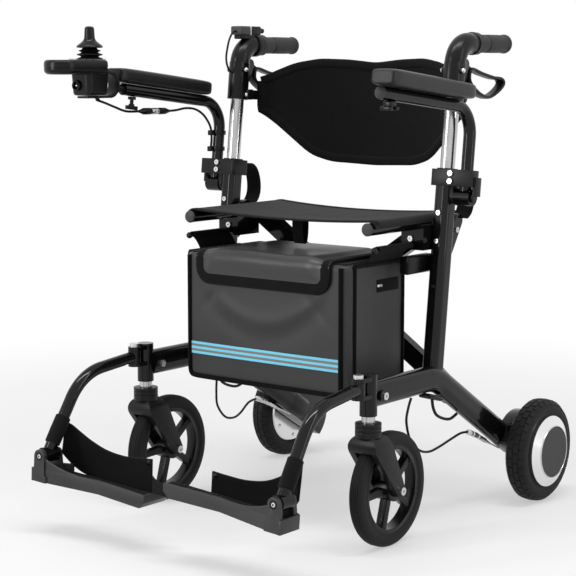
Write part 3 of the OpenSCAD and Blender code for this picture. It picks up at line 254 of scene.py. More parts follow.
def satin_paint():
    look = Look("fork_satin_black", Specular_IOR_Level=0.2)
    speck = look.grain(900, 3)
    tone = look.grain(14, 4)
    look.mottle(tone, rgb(0.005), rgb(0.01), (0.3, 0.44), wear=speck)
    return look.raised(speck, 0.00012, 0.6)


def drawn_tube():
    look = Look("post_polished", Metallic=1.0)
    streak = look.grain(300, 4, (1, 1, 0.03))
    look.mottle(streak, rgb(0.34), rgb(0.66, cool=0.015), (0.12, 0.27))
    return look.raised(streak, 0.00003, 0.3)


def bright_steel():
    look = Look("bolt_steel", Metallic=1.0)
    return look.mottle(look.grain(420, 3), rgb(0.5), rgb(0.74), (0.2, 0.36))


def spun_chrome():
    look = Look("hub_spun_chrome", Metallic=1.0)
    x, y, z = look.axes(shift=(0, -rear_y * mm, -rear_z * mm))
    reach = (y * y + z * z).maths("SQRT")
    lathe_marks = {"W": reach, "Scale": 1500.0, "Detail": 2.0}
    ring = look.node("ShaderNodeTexNoise", {"noise_dimensions": "1D"}, lathe_marks)
    return look.mottle(ring, rgb(0.7), rgb(0.88, cool=0.01), (0.1, 0.22))


def moulding(name, dark, pale, gloss, grit, depth=0.0001, shine=0.25):
    look = Look(name, Specular_IOR_Level=shine)
    speck = look.cells(grit)
    tone = look.grain(18, 4)
    look.mottle(tone, rgb(dark), rgb(pale), (gloss, gloss + 0.14))
    return look.raised(speck, depth, 0.45)


frame_gloss = gloss_paint()
fork_satin = satin_paint()
post_bright = drawn_tube()
bolt_bright = bright_steel()
hub_bright = spun_chrome()
cap_grey = moulding("cap_grey", 0.055, 0.068, 0.45, 1500, shine=0.15)
clamp_black = moulding("clamp_black", 0.004, 0.009, 0.28, 1100, shine=0.2)
shell_black = moulding("shell_black", 0.002, 0.005, 0.2, 1300, 0.00006, 0.22)
control_grey = moulding("control_grey", 0.045, 0.06, 0.42, 1300)
plate_grey = moulding("footplate_grey", 0.012, 0.022, 0.36, 800, 0.00018, 0.45)
print("rigid finishes: 10")

# %% [markdown]
# Rubber, vinyl and cloth. Rubber is dull and slightly dusty. Vinyl is pressed with a leather grain, so
# its bump comes from small cells. Cloth and webbing are woven, and two crossed waves raise their threads
# and paint the hollows between them darker, as painted shade. The back mesh's holes are painted darker too.

# %% Rubber, vinyl and cloth
def rubber(name, dark, pale, gloss, grit):
    look = Look(name, Specular_IOR_Level=0.18)
    dust = look.grain(30, 6)
    look.mottle(dust, rgb(dark), rgb(pale), (gloss, gloss + 0.15))
    return look.raised(look.grain(grit, 3), 0.00012, 0.5)


def grip_rubber():
    look = Look("grip_textured", Specular_IOR_Level=0.18)
    x, y, z = look.axes()
    around = (z - grip_z * mm).maths("ARCTAN2", x.maths("ABSOLUTE") - handle_x * mm)
    ridge = (around * 26 + y * 1400).maths("SINE") * (around * 26 - y * 1400).maths("SINE")
    dust = look.grain(40, 4)
    look.mottle(dust, rgb(0.026), rgb(0.044), (0.44, 0.6))
    return look.raised(ridge, 0.0004, 0.6)


def vinyl(name, dark, pale, gloss, grit, depth=0.00022, shine=0.3):
    look = Look(name, Specular_IOR_Level=shine, Sheen_Weight=0.04, Sheen_Roughness=0.5)
    pore = look.cells(grit)
    fold = look.grain(11, 5)
    look.mottle(fold, rgb(dark), rgb(pale), (gloss, gloss + 0.16))
    return look.raised(pore, depth, 0.55)


def woven(name, dark, pale, pitch, turned_to, sheen):
    look = Look(name, Specular_IOR_Level=0.1, Sheen_Weight=sheen, Sheen_Roughness=0.45)
    axis = dict(zip("XYZ", look.axes()))
    first = (axis[turned_to[0]] * (2 * math.pi / pitch)).maths("SINE")
    second = (axis[turned_to[1]] * (2 * math.pi / pitch)).maths("SINE")
    thread = (first * second) * 0.5 + 0.5
    wear_tone = look.grain(12, 5)
    # The colour mixes painted shade in the hollows between threads, taken from the waves that raise them,
    # with random wear.
    thread_shade_and_wear = thread * 0.55 + wear_tone * 0.45
    look.mottle(thread_shade_and_wear, rgb(dark), rgb(pale), (0.72, 0.92), wear=wear_tone)
    return look.raised(thread, pitch * 0.18, 0.7)


def air_mesh():
    look = Look("back_air_mesh", Specular_IOR_Level=0.1, Sheen_Weight=0.06)
    x, y, z = look.axes()
    pitch = 0.0052
    row, column = [(axis * (2 * math.pi / pitch)).maths("SINE") for axis in (z, x)]
    hole = (row * column) > 0.55
    # The holes are painted darker than the threads, as painted shade in the openings; the dot pattern itself
    # is the fabric's own.
    look.mottle(hole, rgb(0.0024), rgb(0.0095), (0.78, 0.95), wear=look.grain(10, 4))
    return look.raised(1 - hole, 0.0005, 0.6)


def stripe_tape():
    look = Look("bag_reflective_tape", Specular_IOR_Level=0.35)
    x, y, z = look.axes()
    band = ((z - tape_low * mm) / (tape_height * mm) * 5).maths("FLOOR")
    blue = (band.maths("MODULO", 2) > 0.5) * -1 + 1
    glass = look.cells(1400)
    look.mottle(blue, (0.21, 0.2, 0.195, 1), (0.2, 0.68, 0.9, 1), (0.35, 0.5), wear=glass)
    return look.raised(glass, 0.00008, 0.4)


tyre_rubber = rubber("tyre_rubber", 0.006, 0.012, 0.5, 500)
mat_rubber = rubber("mat_rubber", 0.006, 0.011, 0.55, 600)
boot_rubber = rubber("boot_rubber", 0.003, 0.006, 0.3, 700)
cable_skin = rubber("cable_skin", 0.004, 0.008, 0.3, 900)
grip_skin = grip_rubber()
pad_vinyl = vinyl("arm_pad_vinyl", 0.003, 0.007, 0.22, 900, 0.0003)
bag_vinyl = vinyl("bag_vinyl", 0.028, 0.038, 0.4, 700)
bag_lining = woven("bag_lining", 0.003, 0.007, 0.002, "XZ", 0.05)
flap_vinyl = vinyl("flap_vinyl", 0.016, 0.027, 0.24, 700, shine=0.5)
seat_cloth = woven("seat_cloth", 0.006, 0.016, 0.0026, "XY", 0.12)
webbing = woven("black_webbing", 0.002, 0.007, 0.003, "XZ", 0.06)
strap_foam = woven("heel_strap_knit", 0.003, 0.009, 0.0024, "XZ", 0.05)
piping = vinyl("black_piping", 0.001, 0.003, 0.5, 600, shine=0.05)
back_cloth = air_mesh()
tape = stripe_tape()
print("soft finishes: 15")

# %% [markdown]
# Each solid that already has the right shape takes its finish here.
# A left and a right piece share one finish, so the table names each kind once.

# %% Dress the solids
finish_of = {
    "side_frame": frame_gloss, "frame_bolts": bolt_bright, "caster_axle": bolt_bright,
    "hub_motor": hub_bright, "hub_cap": cap_grey, "handle_post": post_bright, "arm_tube": frame_gloss,
    "footrest_hanger": frame_gloss, "cross_brace": frame_gloss, "brace_pin": bolt_bright,
    "joystick_gimbal": bolt_bright, "control_button": shell_black
}


def kind_of(name):
    return name.rsplit("_", 1)[0] if name.endswith(("_left", "_right")) else name


def paint(piece, look):
    piece.data.materials.clear()
    piece.data.materials.append(look.material)


for name, solid in solids.items():
    if kind_of(name) in finish_of:
        paint(solid, finish_of[kind_of(name)])
print("dressed:", sum(kind_of(n) in finish_of for n in solids))

# %% [markdown]
# Modelling helpers. Each one starts from a primitive and works it with operators, as a hand would: a
# profile is drawn by extruding one point and is spun, a block is bevelled, a cloth is a formed grid that
# Solidify thickens, and a run of cable is a bevelled curve.

# %% Modelling helpers
sharp_edge = math.radians(28)
fold_edge = math.radians(50)


def clear():
    if bpy.context.object and bpy.context.object.mode != "OBJECT":
        bpy.ops.object.mode_set(mode="OBJECT")
    bpy.ops.object.select_all(action="DESELECT")


def pick(piece):
    clear()
    piece.select_set(True)
    bpy.context.view_layer.objects.active = piece


def edit(piece):
    pick(piece)
    bpy.ops.object.mode_set(mode="EDIT")
    bpy.ops.mesh.select_all(action="SELECT")


def apply(piece, kind, **settings):
    pick(piece)
    step = piece.modifiers.new(kind.lower(), kind)
    for key, value in settings.items():
        setattr(step, key, value)
    bpy.ops.object.modifier_apply(modifier=step.name)


def shade(piece, angle=35):
    pick(piece)
    bpy.ops.object.shade_smooth_by_angle(angle=math.radians(angle))
    return piece


def drawn_line(name, points):
    clear()
    bpy.ops.mesh.primitive_plane_add(size=0.01)
    piece = bpy.context.object
    piece.name = name
    bpy.ops.object.mode_set(mode="EDIT")
    bpy.ops.mesh.select_all(action="SELECT")
    bpy.ops.mesh.merge(type="CENTER")
    bpy.ops.transform.translate(value=points[0])
    for here, there in zip(points, points[1:]):
        step = [b - a for a, b in zip(here, there)]
        bpy.ops.mesh.extrude_vertices_move(TRANSFORM_OT_translate={"value": step})
    bpy.ops.mesh.select_all(action="SELECT")
    return piece


def turned_piece(name, profile, centre, axis, steps):
    piece = drawn_line(name, [(r * mm, 0, h * mm) for r, h in profile])
    bpy.ops.mesh.spin(steps=steps, angle=2 * math.pi, center=(0, 0, 0), axis=(0, 0, 1))
    bpy.ops.mesh.select_all(action="SELECT")
    bpy.ops.mesh.remove_doubles(threshold=0.00001)
    bpy.ops.mesh.normals_make_consistent(inside=False)
    clear()
    place = Matrix.Translation(Vector(centre) * mm)
    piece.data.transform(place @ Vector(axis).to_track_quat("Z", "Y").to_matrix().to_4x4())
    return shade(piece)


def block(name, low, high, round_by, segments=3):
    clear()
    low, high = Vector(low) * mm, Vector(high) * mm
    bpy.ops.mesh.primitive_cube_add(size=1, location=(low + high) / 2)
    piece = bpy.context.object
    piece.name = name
    piece.scale = high - low
    bpy.ops.object.transform_apply(location=True, rotation=True, scale=True)
    edit(piece)
    bpy.ops.mesh.bevel(offset=round_by * mm, segments=segments, affect="EDGES")
    clear()
    return shade(piece)


def formed_sheet(name, across, along, shape):
    clear()
    bpy.ops.mesh.primitive_grid_add(x_subdivisions=across, y_subdivisions=along, size=2)
    piece = bpy.context.object
    piece.name = name
    for point in piece.data.vertices:
        point.co = Vector(shape((point.co.x + 1) / 2, (point.co.y + 1) / 2)) * mm
    return piece


def formed_shell(name, around, along, shape):
    piece = formed_sheet(name, around, along, shape)
    edit(piece)
    bpy.ops.mesh.remove_doubles(threshold=0.00002)
    bpy.ops.mesh.normals_make_consistent(inside=False)
    clear()
    return shade(piece, 50)


def cloth(name, across, along, shape, thickness, offset=0, bevel=0, angle=50):
    piece = formed_sheet(name, across, along, shape)
    apply(piece, "SOLIDIFY", thickness=thickness * mm, offset=offset)
    if bevel:
        apply(piece, "BEVEL", width=bevel * mm, segments=2, limit_method="ANGLE", angle_limit=fold_edge)
    return shade(piece, angle)


def face_out(piece):
    edit(piece)
    bpy.ops.mesh.normals_make_consistent(inside=False)
    clear()


def arc(cx, cy, r, degrees):
    turns = [math.radians(a) for a in degrees]
    return [(cx + r * math.cos(a), cy + r * math.sin(a)) for a in turns]


def smooth_run(points, steps):
    spots = [Vector(p) for p in points]
    run = []
    for i in range(len(spots) - 1):
        a, b, c, d = (spots[max(0, min(len(spots) - 1, k))] for k in (i - 1, i, i + 1, i + 2))
        for k in range(steps):
            t = k / steps
            bend = (2 * a - 5 * b + 4 * c - d) * t * t + (3 * b - a - 3 * c + d) * t ** 3
            run.append(0.5 * (2 * b + (c - a) * t + bend))
    return run + [spots[-1]]


def cable_run(name, points, width):
    clear()
    bpy.ops.curve.primitive_nurbs_path_add()
    piece = bpy.context.object
    piece.name = name
    piece.location = (0, 0, 0)
    line = piece.data
    line.splines.clear()
    spline = line.splines.new("POLY")
    spline.points.add(len(points) - 1)
    for spot, point in zip(spline.points, points):
        spot.co = (*(Vector(point) * mm), 1)
    line.dimensions = "3D"
    line.bevel_depth = width * mm / 2
    line.bevel_resolution = 4
    line.use_fill_caps = True
    return piece


def as_mesh(piece):
    pick(piece)
    bpy.ops.object.convert(target="MESH")
    return shade(bpy.context.object, 50)


def edged(name, width, segments, cutter=None):
    clear()
    piece = solids[name].copy()
    piece.data = solids[name].data.copy()
    for key in list(piece.keys()):
        del piece[key]
    piece.parent = None
    piece.name = name + "_edged"
    bpy.context.scene.collection.objects.link(piece)
    edit(piece)
    bpy.ops.mesh.remove_doubles(threshold=0.000002)
    bpy.ops.mesh.dissolve_limited(angle_limit=math.radians(0.6))
    clear()
    if cutter:
        apply(piece, "BOOLEAN", operation="DIFFERENCE", object=cutter, solver="EXACT")
        bpy.data.objects.remove(cutter)
    apply(piece, "BEVEL", width=width * mm, segments=segments, limit_method="ANGLE",
          angle_limit=sharp_edge, use_clamp_overlap=True)
    return shade(piece, 32)


def carry(piece, look, body, slot, *stands_for):
    paint(piece, look)
    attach(piece, body)
    if stands_for:
        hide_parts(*stands_for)
    return piece


def bridge(piece, look, slot, bodies, start, end, *stands_for):
    paint(piece, look)
    if stands_for:
        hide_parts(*stands_for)
    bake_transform(piece)


print("modelling helpers ready")

# %% [markdown]
# The floor is one wide pale sheet. It isn't part of the chair. It takes the chair's shadow near the wheels.
# Further out the eye sees plain white, so that the floor meets the white world with no horizon.

# %% Floor
clear()
bpy.ops.mesh.primitive_plane_add(size=14, location=(0, 0, 0))
floor = bpy.context.object
floor.name = "floor"
floor_look = Look("pale_floor")
dust = floor_look.grain(3, 2)
floor_look.mottle(dust, rgb(0.9), rgb(0.92), (0.75, 0.85))
x, y, z = floor_look.axes()
reach = (x * x + y * y).maths("SQRT")
spread = {"Value": reach, "From Min": 0.7, "From Max": 2.2, "To Min": 0.45, "To Max": 1.0}
clean = floor_look.node("ShaderNodeMapRange", {"interpolation_type": "SMOOTHSTEP"}, spread)
ray_kinds = ("Is Camera Ray", "Is Glossy Ray", "Is Transmission Ray")
rays = [floor_look.node("ShaderNodeLightPath", output=kind) for kind in ray_kinds]
seen = rays[0].maths("MAXIMUM", rays[1]).maths("MAXIMUM", rays[2])
white = floor_look.node("ShaderNodeEmission", values={"Color": (1, 1, 1, 1), "Strength": 1.0})
lit = Tone(floor_look, floor_look.shader.outputs[0])
mixed = floor_look.node("ShaderNodeMixShader", values={0: seen * clean, 1: lit, 2: white})
floor_look.join(mixed, floor_look.tree.nodes["Material Output"].inputs["Surface"])
paint(floor, floor_look)
floor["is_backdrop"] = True
print("floor set")

# %% [markdown]
# Castings and mouldings never have knife edges. A copy of each solid is welded, its flat triangles are
# joined, and a bevel rounds its sharp edges, so that they catch the light as the real ones do.

# %% Rounded castings and mouldings
rounded = [
    ("caster_fork", 3.2, 3, fork_satin, "{}_caster", "fork_black"),
    ("caster_rim", 1.4, 2, shell_black, "{}_caster_wheel", "shell_plastic"),
    ("brake_housing", 3.4, 3, frame_gloss, "{}_frame", "frame_black"),
    ("handle_elbow", 1.4, 2, shell_black, "{}_handle", "shell_plastic"),
    ("arm_clamp", 1.1, 2, clamp_black, "{}_frame", "clamp_plastic"),
]
for kind, width, segments, look, body, slot in rounded:
    for side, s in sides:
        piece = edged(f"{kind}_{side}", width, segments)
        carry(piece, look, body.format(side), slot, f"{kind}_{side}")
for name, width, look, body, slot in (
    ("battery_case", 2.5, shell_black, "left_frame", "shell_plastic"),
    ("joystick_mount", 0.9, clamp_black, "right_arm", "clamp_plastic"),
):
    carry(edged(name, width, 3), look, body, slot, name)
print("rounded pieces:", 2 * len(rounded) + 2)

# %% [markdown]
# The front tyres are solid rubber with a round crown and fine ribs round the tread.
# The profile is drawn point by point and spun about the axle.

# %% Front tyres
def caster_profile():
    crown = []
    for i in range(-24, 25):
        x = i * 0.5
        over = max(0.0, abs(x) - 4)
        rib = 1.1 if i % 7 in (0, 1) and abs(i) <= 16 else 0.0
        crown.append((91 + 9 * math.sqrt(max(0.0, 1 - (over / 9) ** 2)) - rib, x))
    rim_seat = [(88, 12.8), (84, 12.9), (81.5, 12.2), (80.8, 11.4), (78, 11.2), (76, 11)]
    wall = [(r, -x) for r, x in reversed(rim_seat)]
    return wall + crown + rim_seat + [(76, -11)]


for side, s in sides:
    tyre = turned_piece(f"caster_tread_{side}", caster_profile(), (s * caster_x, -98, 100), (1, 0, 0), 96)
    carry(tyre, tyre_rubber, f"{side}_caster_wheel", "tyre_black", f"caster_tyre_{side}")
print("front tyres: 2")

# %% [markdown]
# The rear tyres are pneumatic, with two staggered rows of broad blocks and slanted shoulder blocks.
# The grooves between them are narrow and shallow, so the tyre stays smooth in outline.
# One block is shaped, and copies of it go round the carcass at an even pitch.

# %% Rear tyres
carcass = [
    (67, -17), (70, -18.6), (78, -20), (85, -19.4), (90.2, -16.6), (93.6, -11.8), (95.2, -6), (95.6, 0)
]
carcass = carcass + [(r, -x) for r, x in reversed(carcass[:-1])] + [carcass[0]]
blocks_round = 34


def tread_block():
    clear()
    bpy.ops.mesh.primitive_cube_add(size=1)
    piece = bpy.context.object
    piece.name = "tread_block"
    piece.scale = (0.0104, 0.0162, 0.0026)
    bpy.ops.object.transform_apply(location=False, rotation=False, scale=True)
    for point in piece.data.vertices:
        if point.co.z > 0:
            point.co = (point.co.x * 0.93, point.co.y * 0.95, point.co.z)
        point.co.y += 0.12 * point.co.x
    edit(piece)
    bpy.ops.mesh.bevel(offset=0.0005, segments=1, affect="EDGES")
    clear()
    return piece


pattern = tread_block()
for side, s in sides:
    centre = Matrix.Translation(Vector((s * rear_x, rear_y, rear_z)) * mm)
    parts = [turned_piece(f"rear_tread_{side}", carcass, (s * rear_x, rear_y, rear_z), (1, 0, 0), 96)]
    for row, reach, tilt, phase in (
        (-5.6, 95.0, -6, 0), (5.6, 95.0, 6, 0.5), (-14.8, 91.3, -44, 0.5), (14.8, 91.3, 44, 0)
    ):
        for k in range(blocks_round):
            copy = pattern.copy()
            copy.data = pattern.data.copy()
            bpy.context.scene.collection.objects.link(copy)
            spin = Matrix.Rotation((k + phase) * 2 * math.pi / blocks_round, 4, "X")
            seat = Matrix.Translation((row * mm, 0, reach * mm)) @ Matrix.Rotation(math.radians(tilt), 4, "Y")
            copy.data.transform(centre @ spin @ seat)
            parts.append(copy)
    clear()
    for part in parts:
        part.select_set(True)
    bpy.context.view_layer.objects.active = parts[0]
    bpy.ops.object.join()
    tyre = shade(parts[0], 40)
    carry(tyre, tyre_rubber, f"{side}_rear_wheel", "tyre_black", f"rear_tyre_{side}")
bpy.data.objects.remove(pattern)
print("rear tyres: 2, blocks each:", 4 * blocks_round)

# %% [markdown]
# Small bright trim: the ring round each hub cap, the screws of the motor cover, the collar above each
# fork, and the plugs in the open tube ends. All are turned parts. A small clip of rounded blocks hangs
# under the left arm.

# %% Turned trim
hub_ring = [(47.7, 33), (48.2, 34.4), (49.3, 34.2), (49.8, 33), (47.7, 33)]
cover_screw = [(0, 1.9), (1.6, 1.8), (3.1, 1.2), (3.8, 0.2), (3.8, -0.6), (0, -0.6)]
stem_collar = [(11.05, 225.2), (11.7, 225.4), (11.7, 236.2), (11.05, 236.5), (11.05, 225.2)]
rail_plug = [(0, 5), (7, 4.7), (10, 3.6), (11.3, 1.6), (11.3, 0.2), (0, 0.2)]
arm_plug = [(0, 9), (4, 8.4), (8, 6.2), (10.4, 3), (11, 0.2), (0, 0.2)]
screws_round, screw_reach = 6, 53
for side, s in sides:
    wheel = f"{side}_rear_wheel"
    carry(turned_piece(f"hub_ring_{side}", hub_ring, (s * rear_x, rear_y, rear_z), (s, 0, 0), 96),
          bolt_bright, wheel, "hub_chrome")
    for k in range(screws_round):
        a = math.radians(360 / screws_round * k)
        spot = (s * (rear_x - 18), rear_y + screw_reach * math.sin(a), rear_z + screw_reach * math.cos(a))
        carry(turned_piece(f"motor_screw_{side}_{k}", cover_screw, spot, (-s, 0, 0), 16),
              bolt_bright, wheel, "bright_steel")
    carry(turned_piece(f"stem_collar_{side}", stem_collar, (s * caster_x, -156, 0), (0, 0, 1), 48),
          post_bright, f"{side}_caster", "bright_steel")
    carry(turned_piece(f"rail_plug_{side}", rail_plug, (s * rail_out, -87, rail_height), (0, -1, 0), 40),
          cap_grey, "brace_b" if s > 0 else "brace_a", "cap_grey")
arm_way = (0, -math.cos(lean), math.sin(lean))
carry(turned_piece("arm_end_plug", arm_plug, (arm_x, -173.15, 775.52), arm_way, 40),
      cap_grey, "left_arm", "cap_grey")
carry(block("arm_clip", (279, -157, 751), (295, -139, 762), 2.2), shell_black, "left_arm", "shell_plastic")
for k, y in enumerate((-162, -144)):
    carry(block(f"arm_clip_foot_{k}", (276.5, y, 746.5), (297.5, y + 9, 753), 1.6),
          shell_black, "left_arm", "shell_plastic")
print("turned trim and the arm's clip made")

# %% [markdown]
# The hand grips are rubber sleeves with a collar, a ring groove and a swollen palm.
# The texture is a crossed ridge in the finish, and the form is a spun profile.

# %% Hand grips
grip_profile = [
    (11, 0), (19.4, 0), (20, 1), (20, 8.5), (19.2, 9.8), (16.6, 11), (16.2, 14), (16.2, 33), (15.9, 34),
    (14.7, 35.2), (14.7, 37.4), (15.9, 38.6), (16.3, 40), (16.5, 60), (16.4, 84), (16, 96), (16.2, 100),
    (17.1, 102), (17.4, 105), (16.9, 107.4), (15.4, 108), (6, 108), (5, 107), (0, 107),
]
for side, s in sides:
    grip = turned_piece(f"grip_sleeve_{side}", grip_profile, (s * handle_x, 169.8, grip_z), (0, 1, 0), 64)
    carry(grip, grip_skin, f"{side}_handle", "grip_rubber", f"hand_grip_{side}")
print("hand grips: 2")

# %% [markdown]
# Each brake lever is a closed loop of flat bar that hangs behind its elbow, with two short arms to the
# pivot. The loop is a rounded section carried round a smooth closed line, and an arm is the outline round
# two circles.

# %% Brake levers
lever_line = [
    (22, -8), (58, -16), (98, -23.5), (124, -26), (131.5, -35), (116, -47), (92, -56.5), (76, -58.5),
    (56, -54), (38, -46), (20, -34), (14, -22)
]
lever_ends = (Vector((22, -8)), Vector((16, -27)))
pivot_r, end_r, arm_half, arm_round = 7, 3.4, 4.8, 0.9


def squared(value, power):
    return math.copysign(abs(value) ** power, value)


def closed_run(points, steps):
    run = smooth_run([(0, *p) for p in points[-2:] + points + points[:3]], steps)
    return run[2 * steps:2 * steps + len(points) * steps]


def loop_section(s, run):
    def shape(p, q):
        k = int(round(q * len(run))) % len(run)
        along = (run[(k + 1) % len(run)] - run[k - 1]).normalized()
        a = 2 * math.pi * p
        wide, thick = 10 * squared(math.cos(a), 0.6), 3.2 * squared(math.sin(a), 0.6)
        spot = run[k] + Vector((0, -along.z, along.y)) * thick
        return (s * handle_x + wide, lever_y + spot.y, lever_z + spot.z)
    return shape


def arm_section(s, far):
    inner = arm_half - arm_round

    def shape(p, q):
        a = 2 * math.pi * p
        way = Vector((math.cos(a), math.sin(a)))
        spot = way * pivot_r if way.dot(far) + end_r < pivot_r else far + way * end_r
        row = int(round(q * 5))
        if row in (0, 5):
            spot = far / 2
        elif row in (1, 4):
            spot = spot - way * arm_round
        x = (-arm_half, -arm_half, -inner, inner, arm_half, arm_half)[row]
        return (s * handle_x + x, lever_y + spot.x, lever_z + spot.y)
    return shape


for side, s in sides:
    run = closed_run(lever_line, 6)
    loop = formed_shell(f"lever_loop_{side}", 16, len(run), loop_section(s, run))
    carry(loop, clamp_black, f"{side}_brake_lever", "clamp_plastic", f"brake_lever_{side}")
    for k, far in enumerate(lever_ends):
        arm = formed_shell(f"lever_arm_{side}_{k}", 40, 5, arm_section(s, far))
        carry(arm, clamp_black, f"{side}_brake_lever", "clamp_plastic")
print("brake levers: 2")

# %% [markdown]
# The cables follow the same routes as their solids. Each is one smooth curve of round section, and it ends
# in a fitting or at a tube. A tapered gland guards the joystick's lead where it leaves the box, and two clips
# hold its rear end to the arm.

# %% Cables
def along_route(route, x):
    return [tuple(p) for p in smooth_run([(x, y, z) for y, z in route], 6)]


def run_length(points):
    return sum((Vector(b) - Vector(a)).length for a, b in zip(points, points[1:])) * mm


def lay_cable(name, route, x, width, body, stands_for=()):
    points = along_route(route, x)
    piece = cable_run(name, points, width)
    carry(piece, cable_skin, body, "cable_black", *stands_for)
    return run_length(points)


def stations(x, rows):
    return [((x, y, z), r) for y, z, r in rows]


def tube_between(name, spots, look, body, slot, steps=24):
    start, end = Vector(spots[0][0]), Vector(spots[-1][0])
    way = (end - start).normalized()
    profile = [(0, 0)] + [(r, (Vector(p) - start).length) for p, r in spots]
    profile = profile + [(0, (end - start).length)]
    return carry(turned_piece(name, profile, start, way, steps), look, body, slot)


brake_route = {
    1: [
        (-22, 245.2), (-31, 228), (-36, 205), (-24, 172), (4, 148), (36, 139), (70, 142), (103, 148),
        (140, 154), (166, 152)
    ],
    -1: [(40, 240), (42, 214), (41, 186), (44, 158), (66, 132), (92, 125), (114, 131), (140, 148), (166, 152)]
}
nut_rows = [
    (163, 153.3, 3.4), (166, 152.1, 5.6), (177, 147.6, 5.6), (178, 147.2, 4.2), (182, 145.6, 4.2),
    (183, 145.2, 5.4), (196, 140, 5.4)
]
barrel_rows = [
    (196, 140, 3.2), (201, 137.9, 3.2), (202, 137.4, 4.5), (226, 125.1, 4.5), (228, 124.1, 3.2),
    (240, 118, 2.4)
]
wire_rows = [(239, 118.4, 1.5), (275, 102, 1.5)]
lead_route = [(44, 235), (48, 217), (59, 202), (80, 192), (104, 187), (126, 192.6)]
gland_tilt = math.radians(15.885)
for side, s in sides:
    x = s * cable_x
    frame_body = f"{side}_frame"
    nut = tube_between(f"cable_nut_{side}", stations(x, nut_rows),
                       bolt_bright, frame_body, "bright_steel", 6)
    barrel = tube_between(f"cable_barrel_{side}", stations(x, barrel_rows),
                          bolt_bright, frame_body, "bright_steel")
    tube_between(f"brake_wire_{side}", stations(x, wire_rows), bolt_bright, frame_body, "bright_steel", 12)
    lay_cable(f"brake_cable_{side}", brake_route[s], x, 4.5, frame_body,
              [f"rear_cables_{side}"])
    lay_cable(f"motor_lead_{side}", lead_route, x, 5.5, frame_body)
    plate = block(f"cable_gland_{side}", (-13, -22, 0), (13, 22, 9), 3.5)
    seat = Matrix.Translation(Vector((x, 24.39, 181)) * mm) @ Matrix.Rotation(-gland_tilt, 4, "X")
    plate.data.transform(seat @ Matrix.Translation((0, 0, 0.0541)))
    carry(plate, shell_black, frame_body, "shell_plastic")
plug_rows = [(-125.7, 734, 2.6), (-118, 733.9, 4.4), (-114, 733.9, 6.2), (-96, 733.7, 6.4), (-92, 733.6, 5.2)]
socket_rows = [(-75, 733.4, 5.2), (-71, 733.3, 6.4), (-54, 733.1, 6.2), (-49, 733.1, 4.4), (-41.3, 733, 2.6)]
lock_rows = [
    (-93, 733.6, 5.6), (-90, 733.6, 6.3), (-85, 733.5, 6.3), (-84, 733.5, 5.4), (-82, 733.5, 5.4),
    (-81, 733.5, 6.3), (-77, 733.4, 6.3), (-74, 733.4, 5.6)
]
gland_rows = [(-243, 768, 4.4), (-238, 759.8, 3.8), (-230, 755.8, 2.7)]
plug, socket, nut, gland = [
    tube_between(f"joystick_{name}", stations(stick_x, rows), look, "right_arm", slot)
    for name, rows, look, slot in (
        ("plug", plug_rows, shell_black, "shell_plastic"),
        ("socket", socket_rows, shell_black, "shell_plastic"),
        ("nut", lock_rows, bolt_bright, "bright_steel"),
        ("gland", gland_rows, cable_skin, "cable_black"),
    )
]
tie_band = [(11.3, -4), (13, -4), (13.4, -3), (13.4, 3), (13, 4), (11.3, 4), (11.3, -4)]
for k, (y, z) in enumerate(((81.5, 688), (79.5, 657))):
    carry(block(f"cable_clip_{k}", (-296.5, y - 8.5, z - 5), (-arm_x, y + 6.5, z + 5), 1.8),
          shell_black, "right_arm", "shell_plastic")
    spot = (-arm_x, arm_pivot_y + (z - arm_pivot_z) * math.tan(lean), z)
    carry(turned_piece(f"cable_tie_{k}", tie_band, spot, (0, math.sin(lean), math.cos(lean)), 40),
          shell_black, "right_arm", "shell_plastic")
front_route = [(-236, 757), (-214, 751), (-190, 743.5), (-160, 735), (-126, 734)]
rear_route = [
    (-41, 733), (-22, 734), (4, 737), (30, 735), (52, 726), (68, 712), (78, 696), (80, 676), (77, 656)
]
control_route = [(100.5, 883.6), (90, 880), (80, 866), (74, 848), (71, 832), (75, 816), (85.5, 804)]
lay_cable("joystick_lead_front", front_route, stick_x, 4.5, "right_arm",
          ["joystick_cable"])
lay_cable("joystick_lead_rear", rear_route, stick_x, 4.5, "right_arm", [])
control_length = lay_cable("control_lead", control_route, -handle_x, 4, "right_handle")
print("cables: 7, control lead", round(control_length, 3), "m")

# %% [markdown]
# The control box stands on a foot over the right grip: a pale front, a white line, a dark rear with the
# button's bore, a cap on the button and a band round the bar. The halves are rounded blocks, and the bore
# is cut with a boolean.

# %% Control box
def bored(piece, centre, radius, depth):
    clear()
    bpy.ops.mesh.primitive_cylinder_add(
        vertices=40, radius=radius * mm, depth=depth * mm, location=Vector(centre) * mm,
        rotation=(math.radians(90), 0, 0)
    )
    cutter = bpy.context.object
    apply(piece, "BOOLEAN", operation="DIFFERENCE", object=cutter, solver="EXACT")
    bpy.data.objects.remove(cutter)
    return shade(piece, 32)


button_z = 884.8
white_line = moulding("white_line", 0.62, 0.7, 0.42, 1500)
bar_band = [(19.4, 0), (22.2, 0.6), (22.5, 2), (22.5, 11), (22.2, 12.4), (19.4, 13), (19.4, 0)]
button_cap = [(0, 0), (5, 0), (5, 17.4), (4.6, 18.4), (3.6, 19), (0, 19.3)]
carry(block("control_front", (-259.6, 100, 876.5), (-232.4, 129.6, 893.2), 3, 4),
      control_grey, "right_handle", "control_grey", "control_box")
carry(block("control_line", (-260, 129.2, 876.4), (-232, 131.6, 893.3), 0.6, 2),
      white_line, "right_handle", "control_grey")
rear_half = block("control_rear", (-257, 131.2, 876.5), (-237, 167.6, 893.2), 3, 4)
carry(bored(rear_half, (-handle_x, 165, button_z), 5.6, 26), shell_black, "right_handle", "shell_plastic")
carry(turned_piece("control_band", bar_band, (-handle_x, 148.5, grip_z), (0, 1, 0), 56),
      clamp_black, "right_handle", "clamp_plastic")
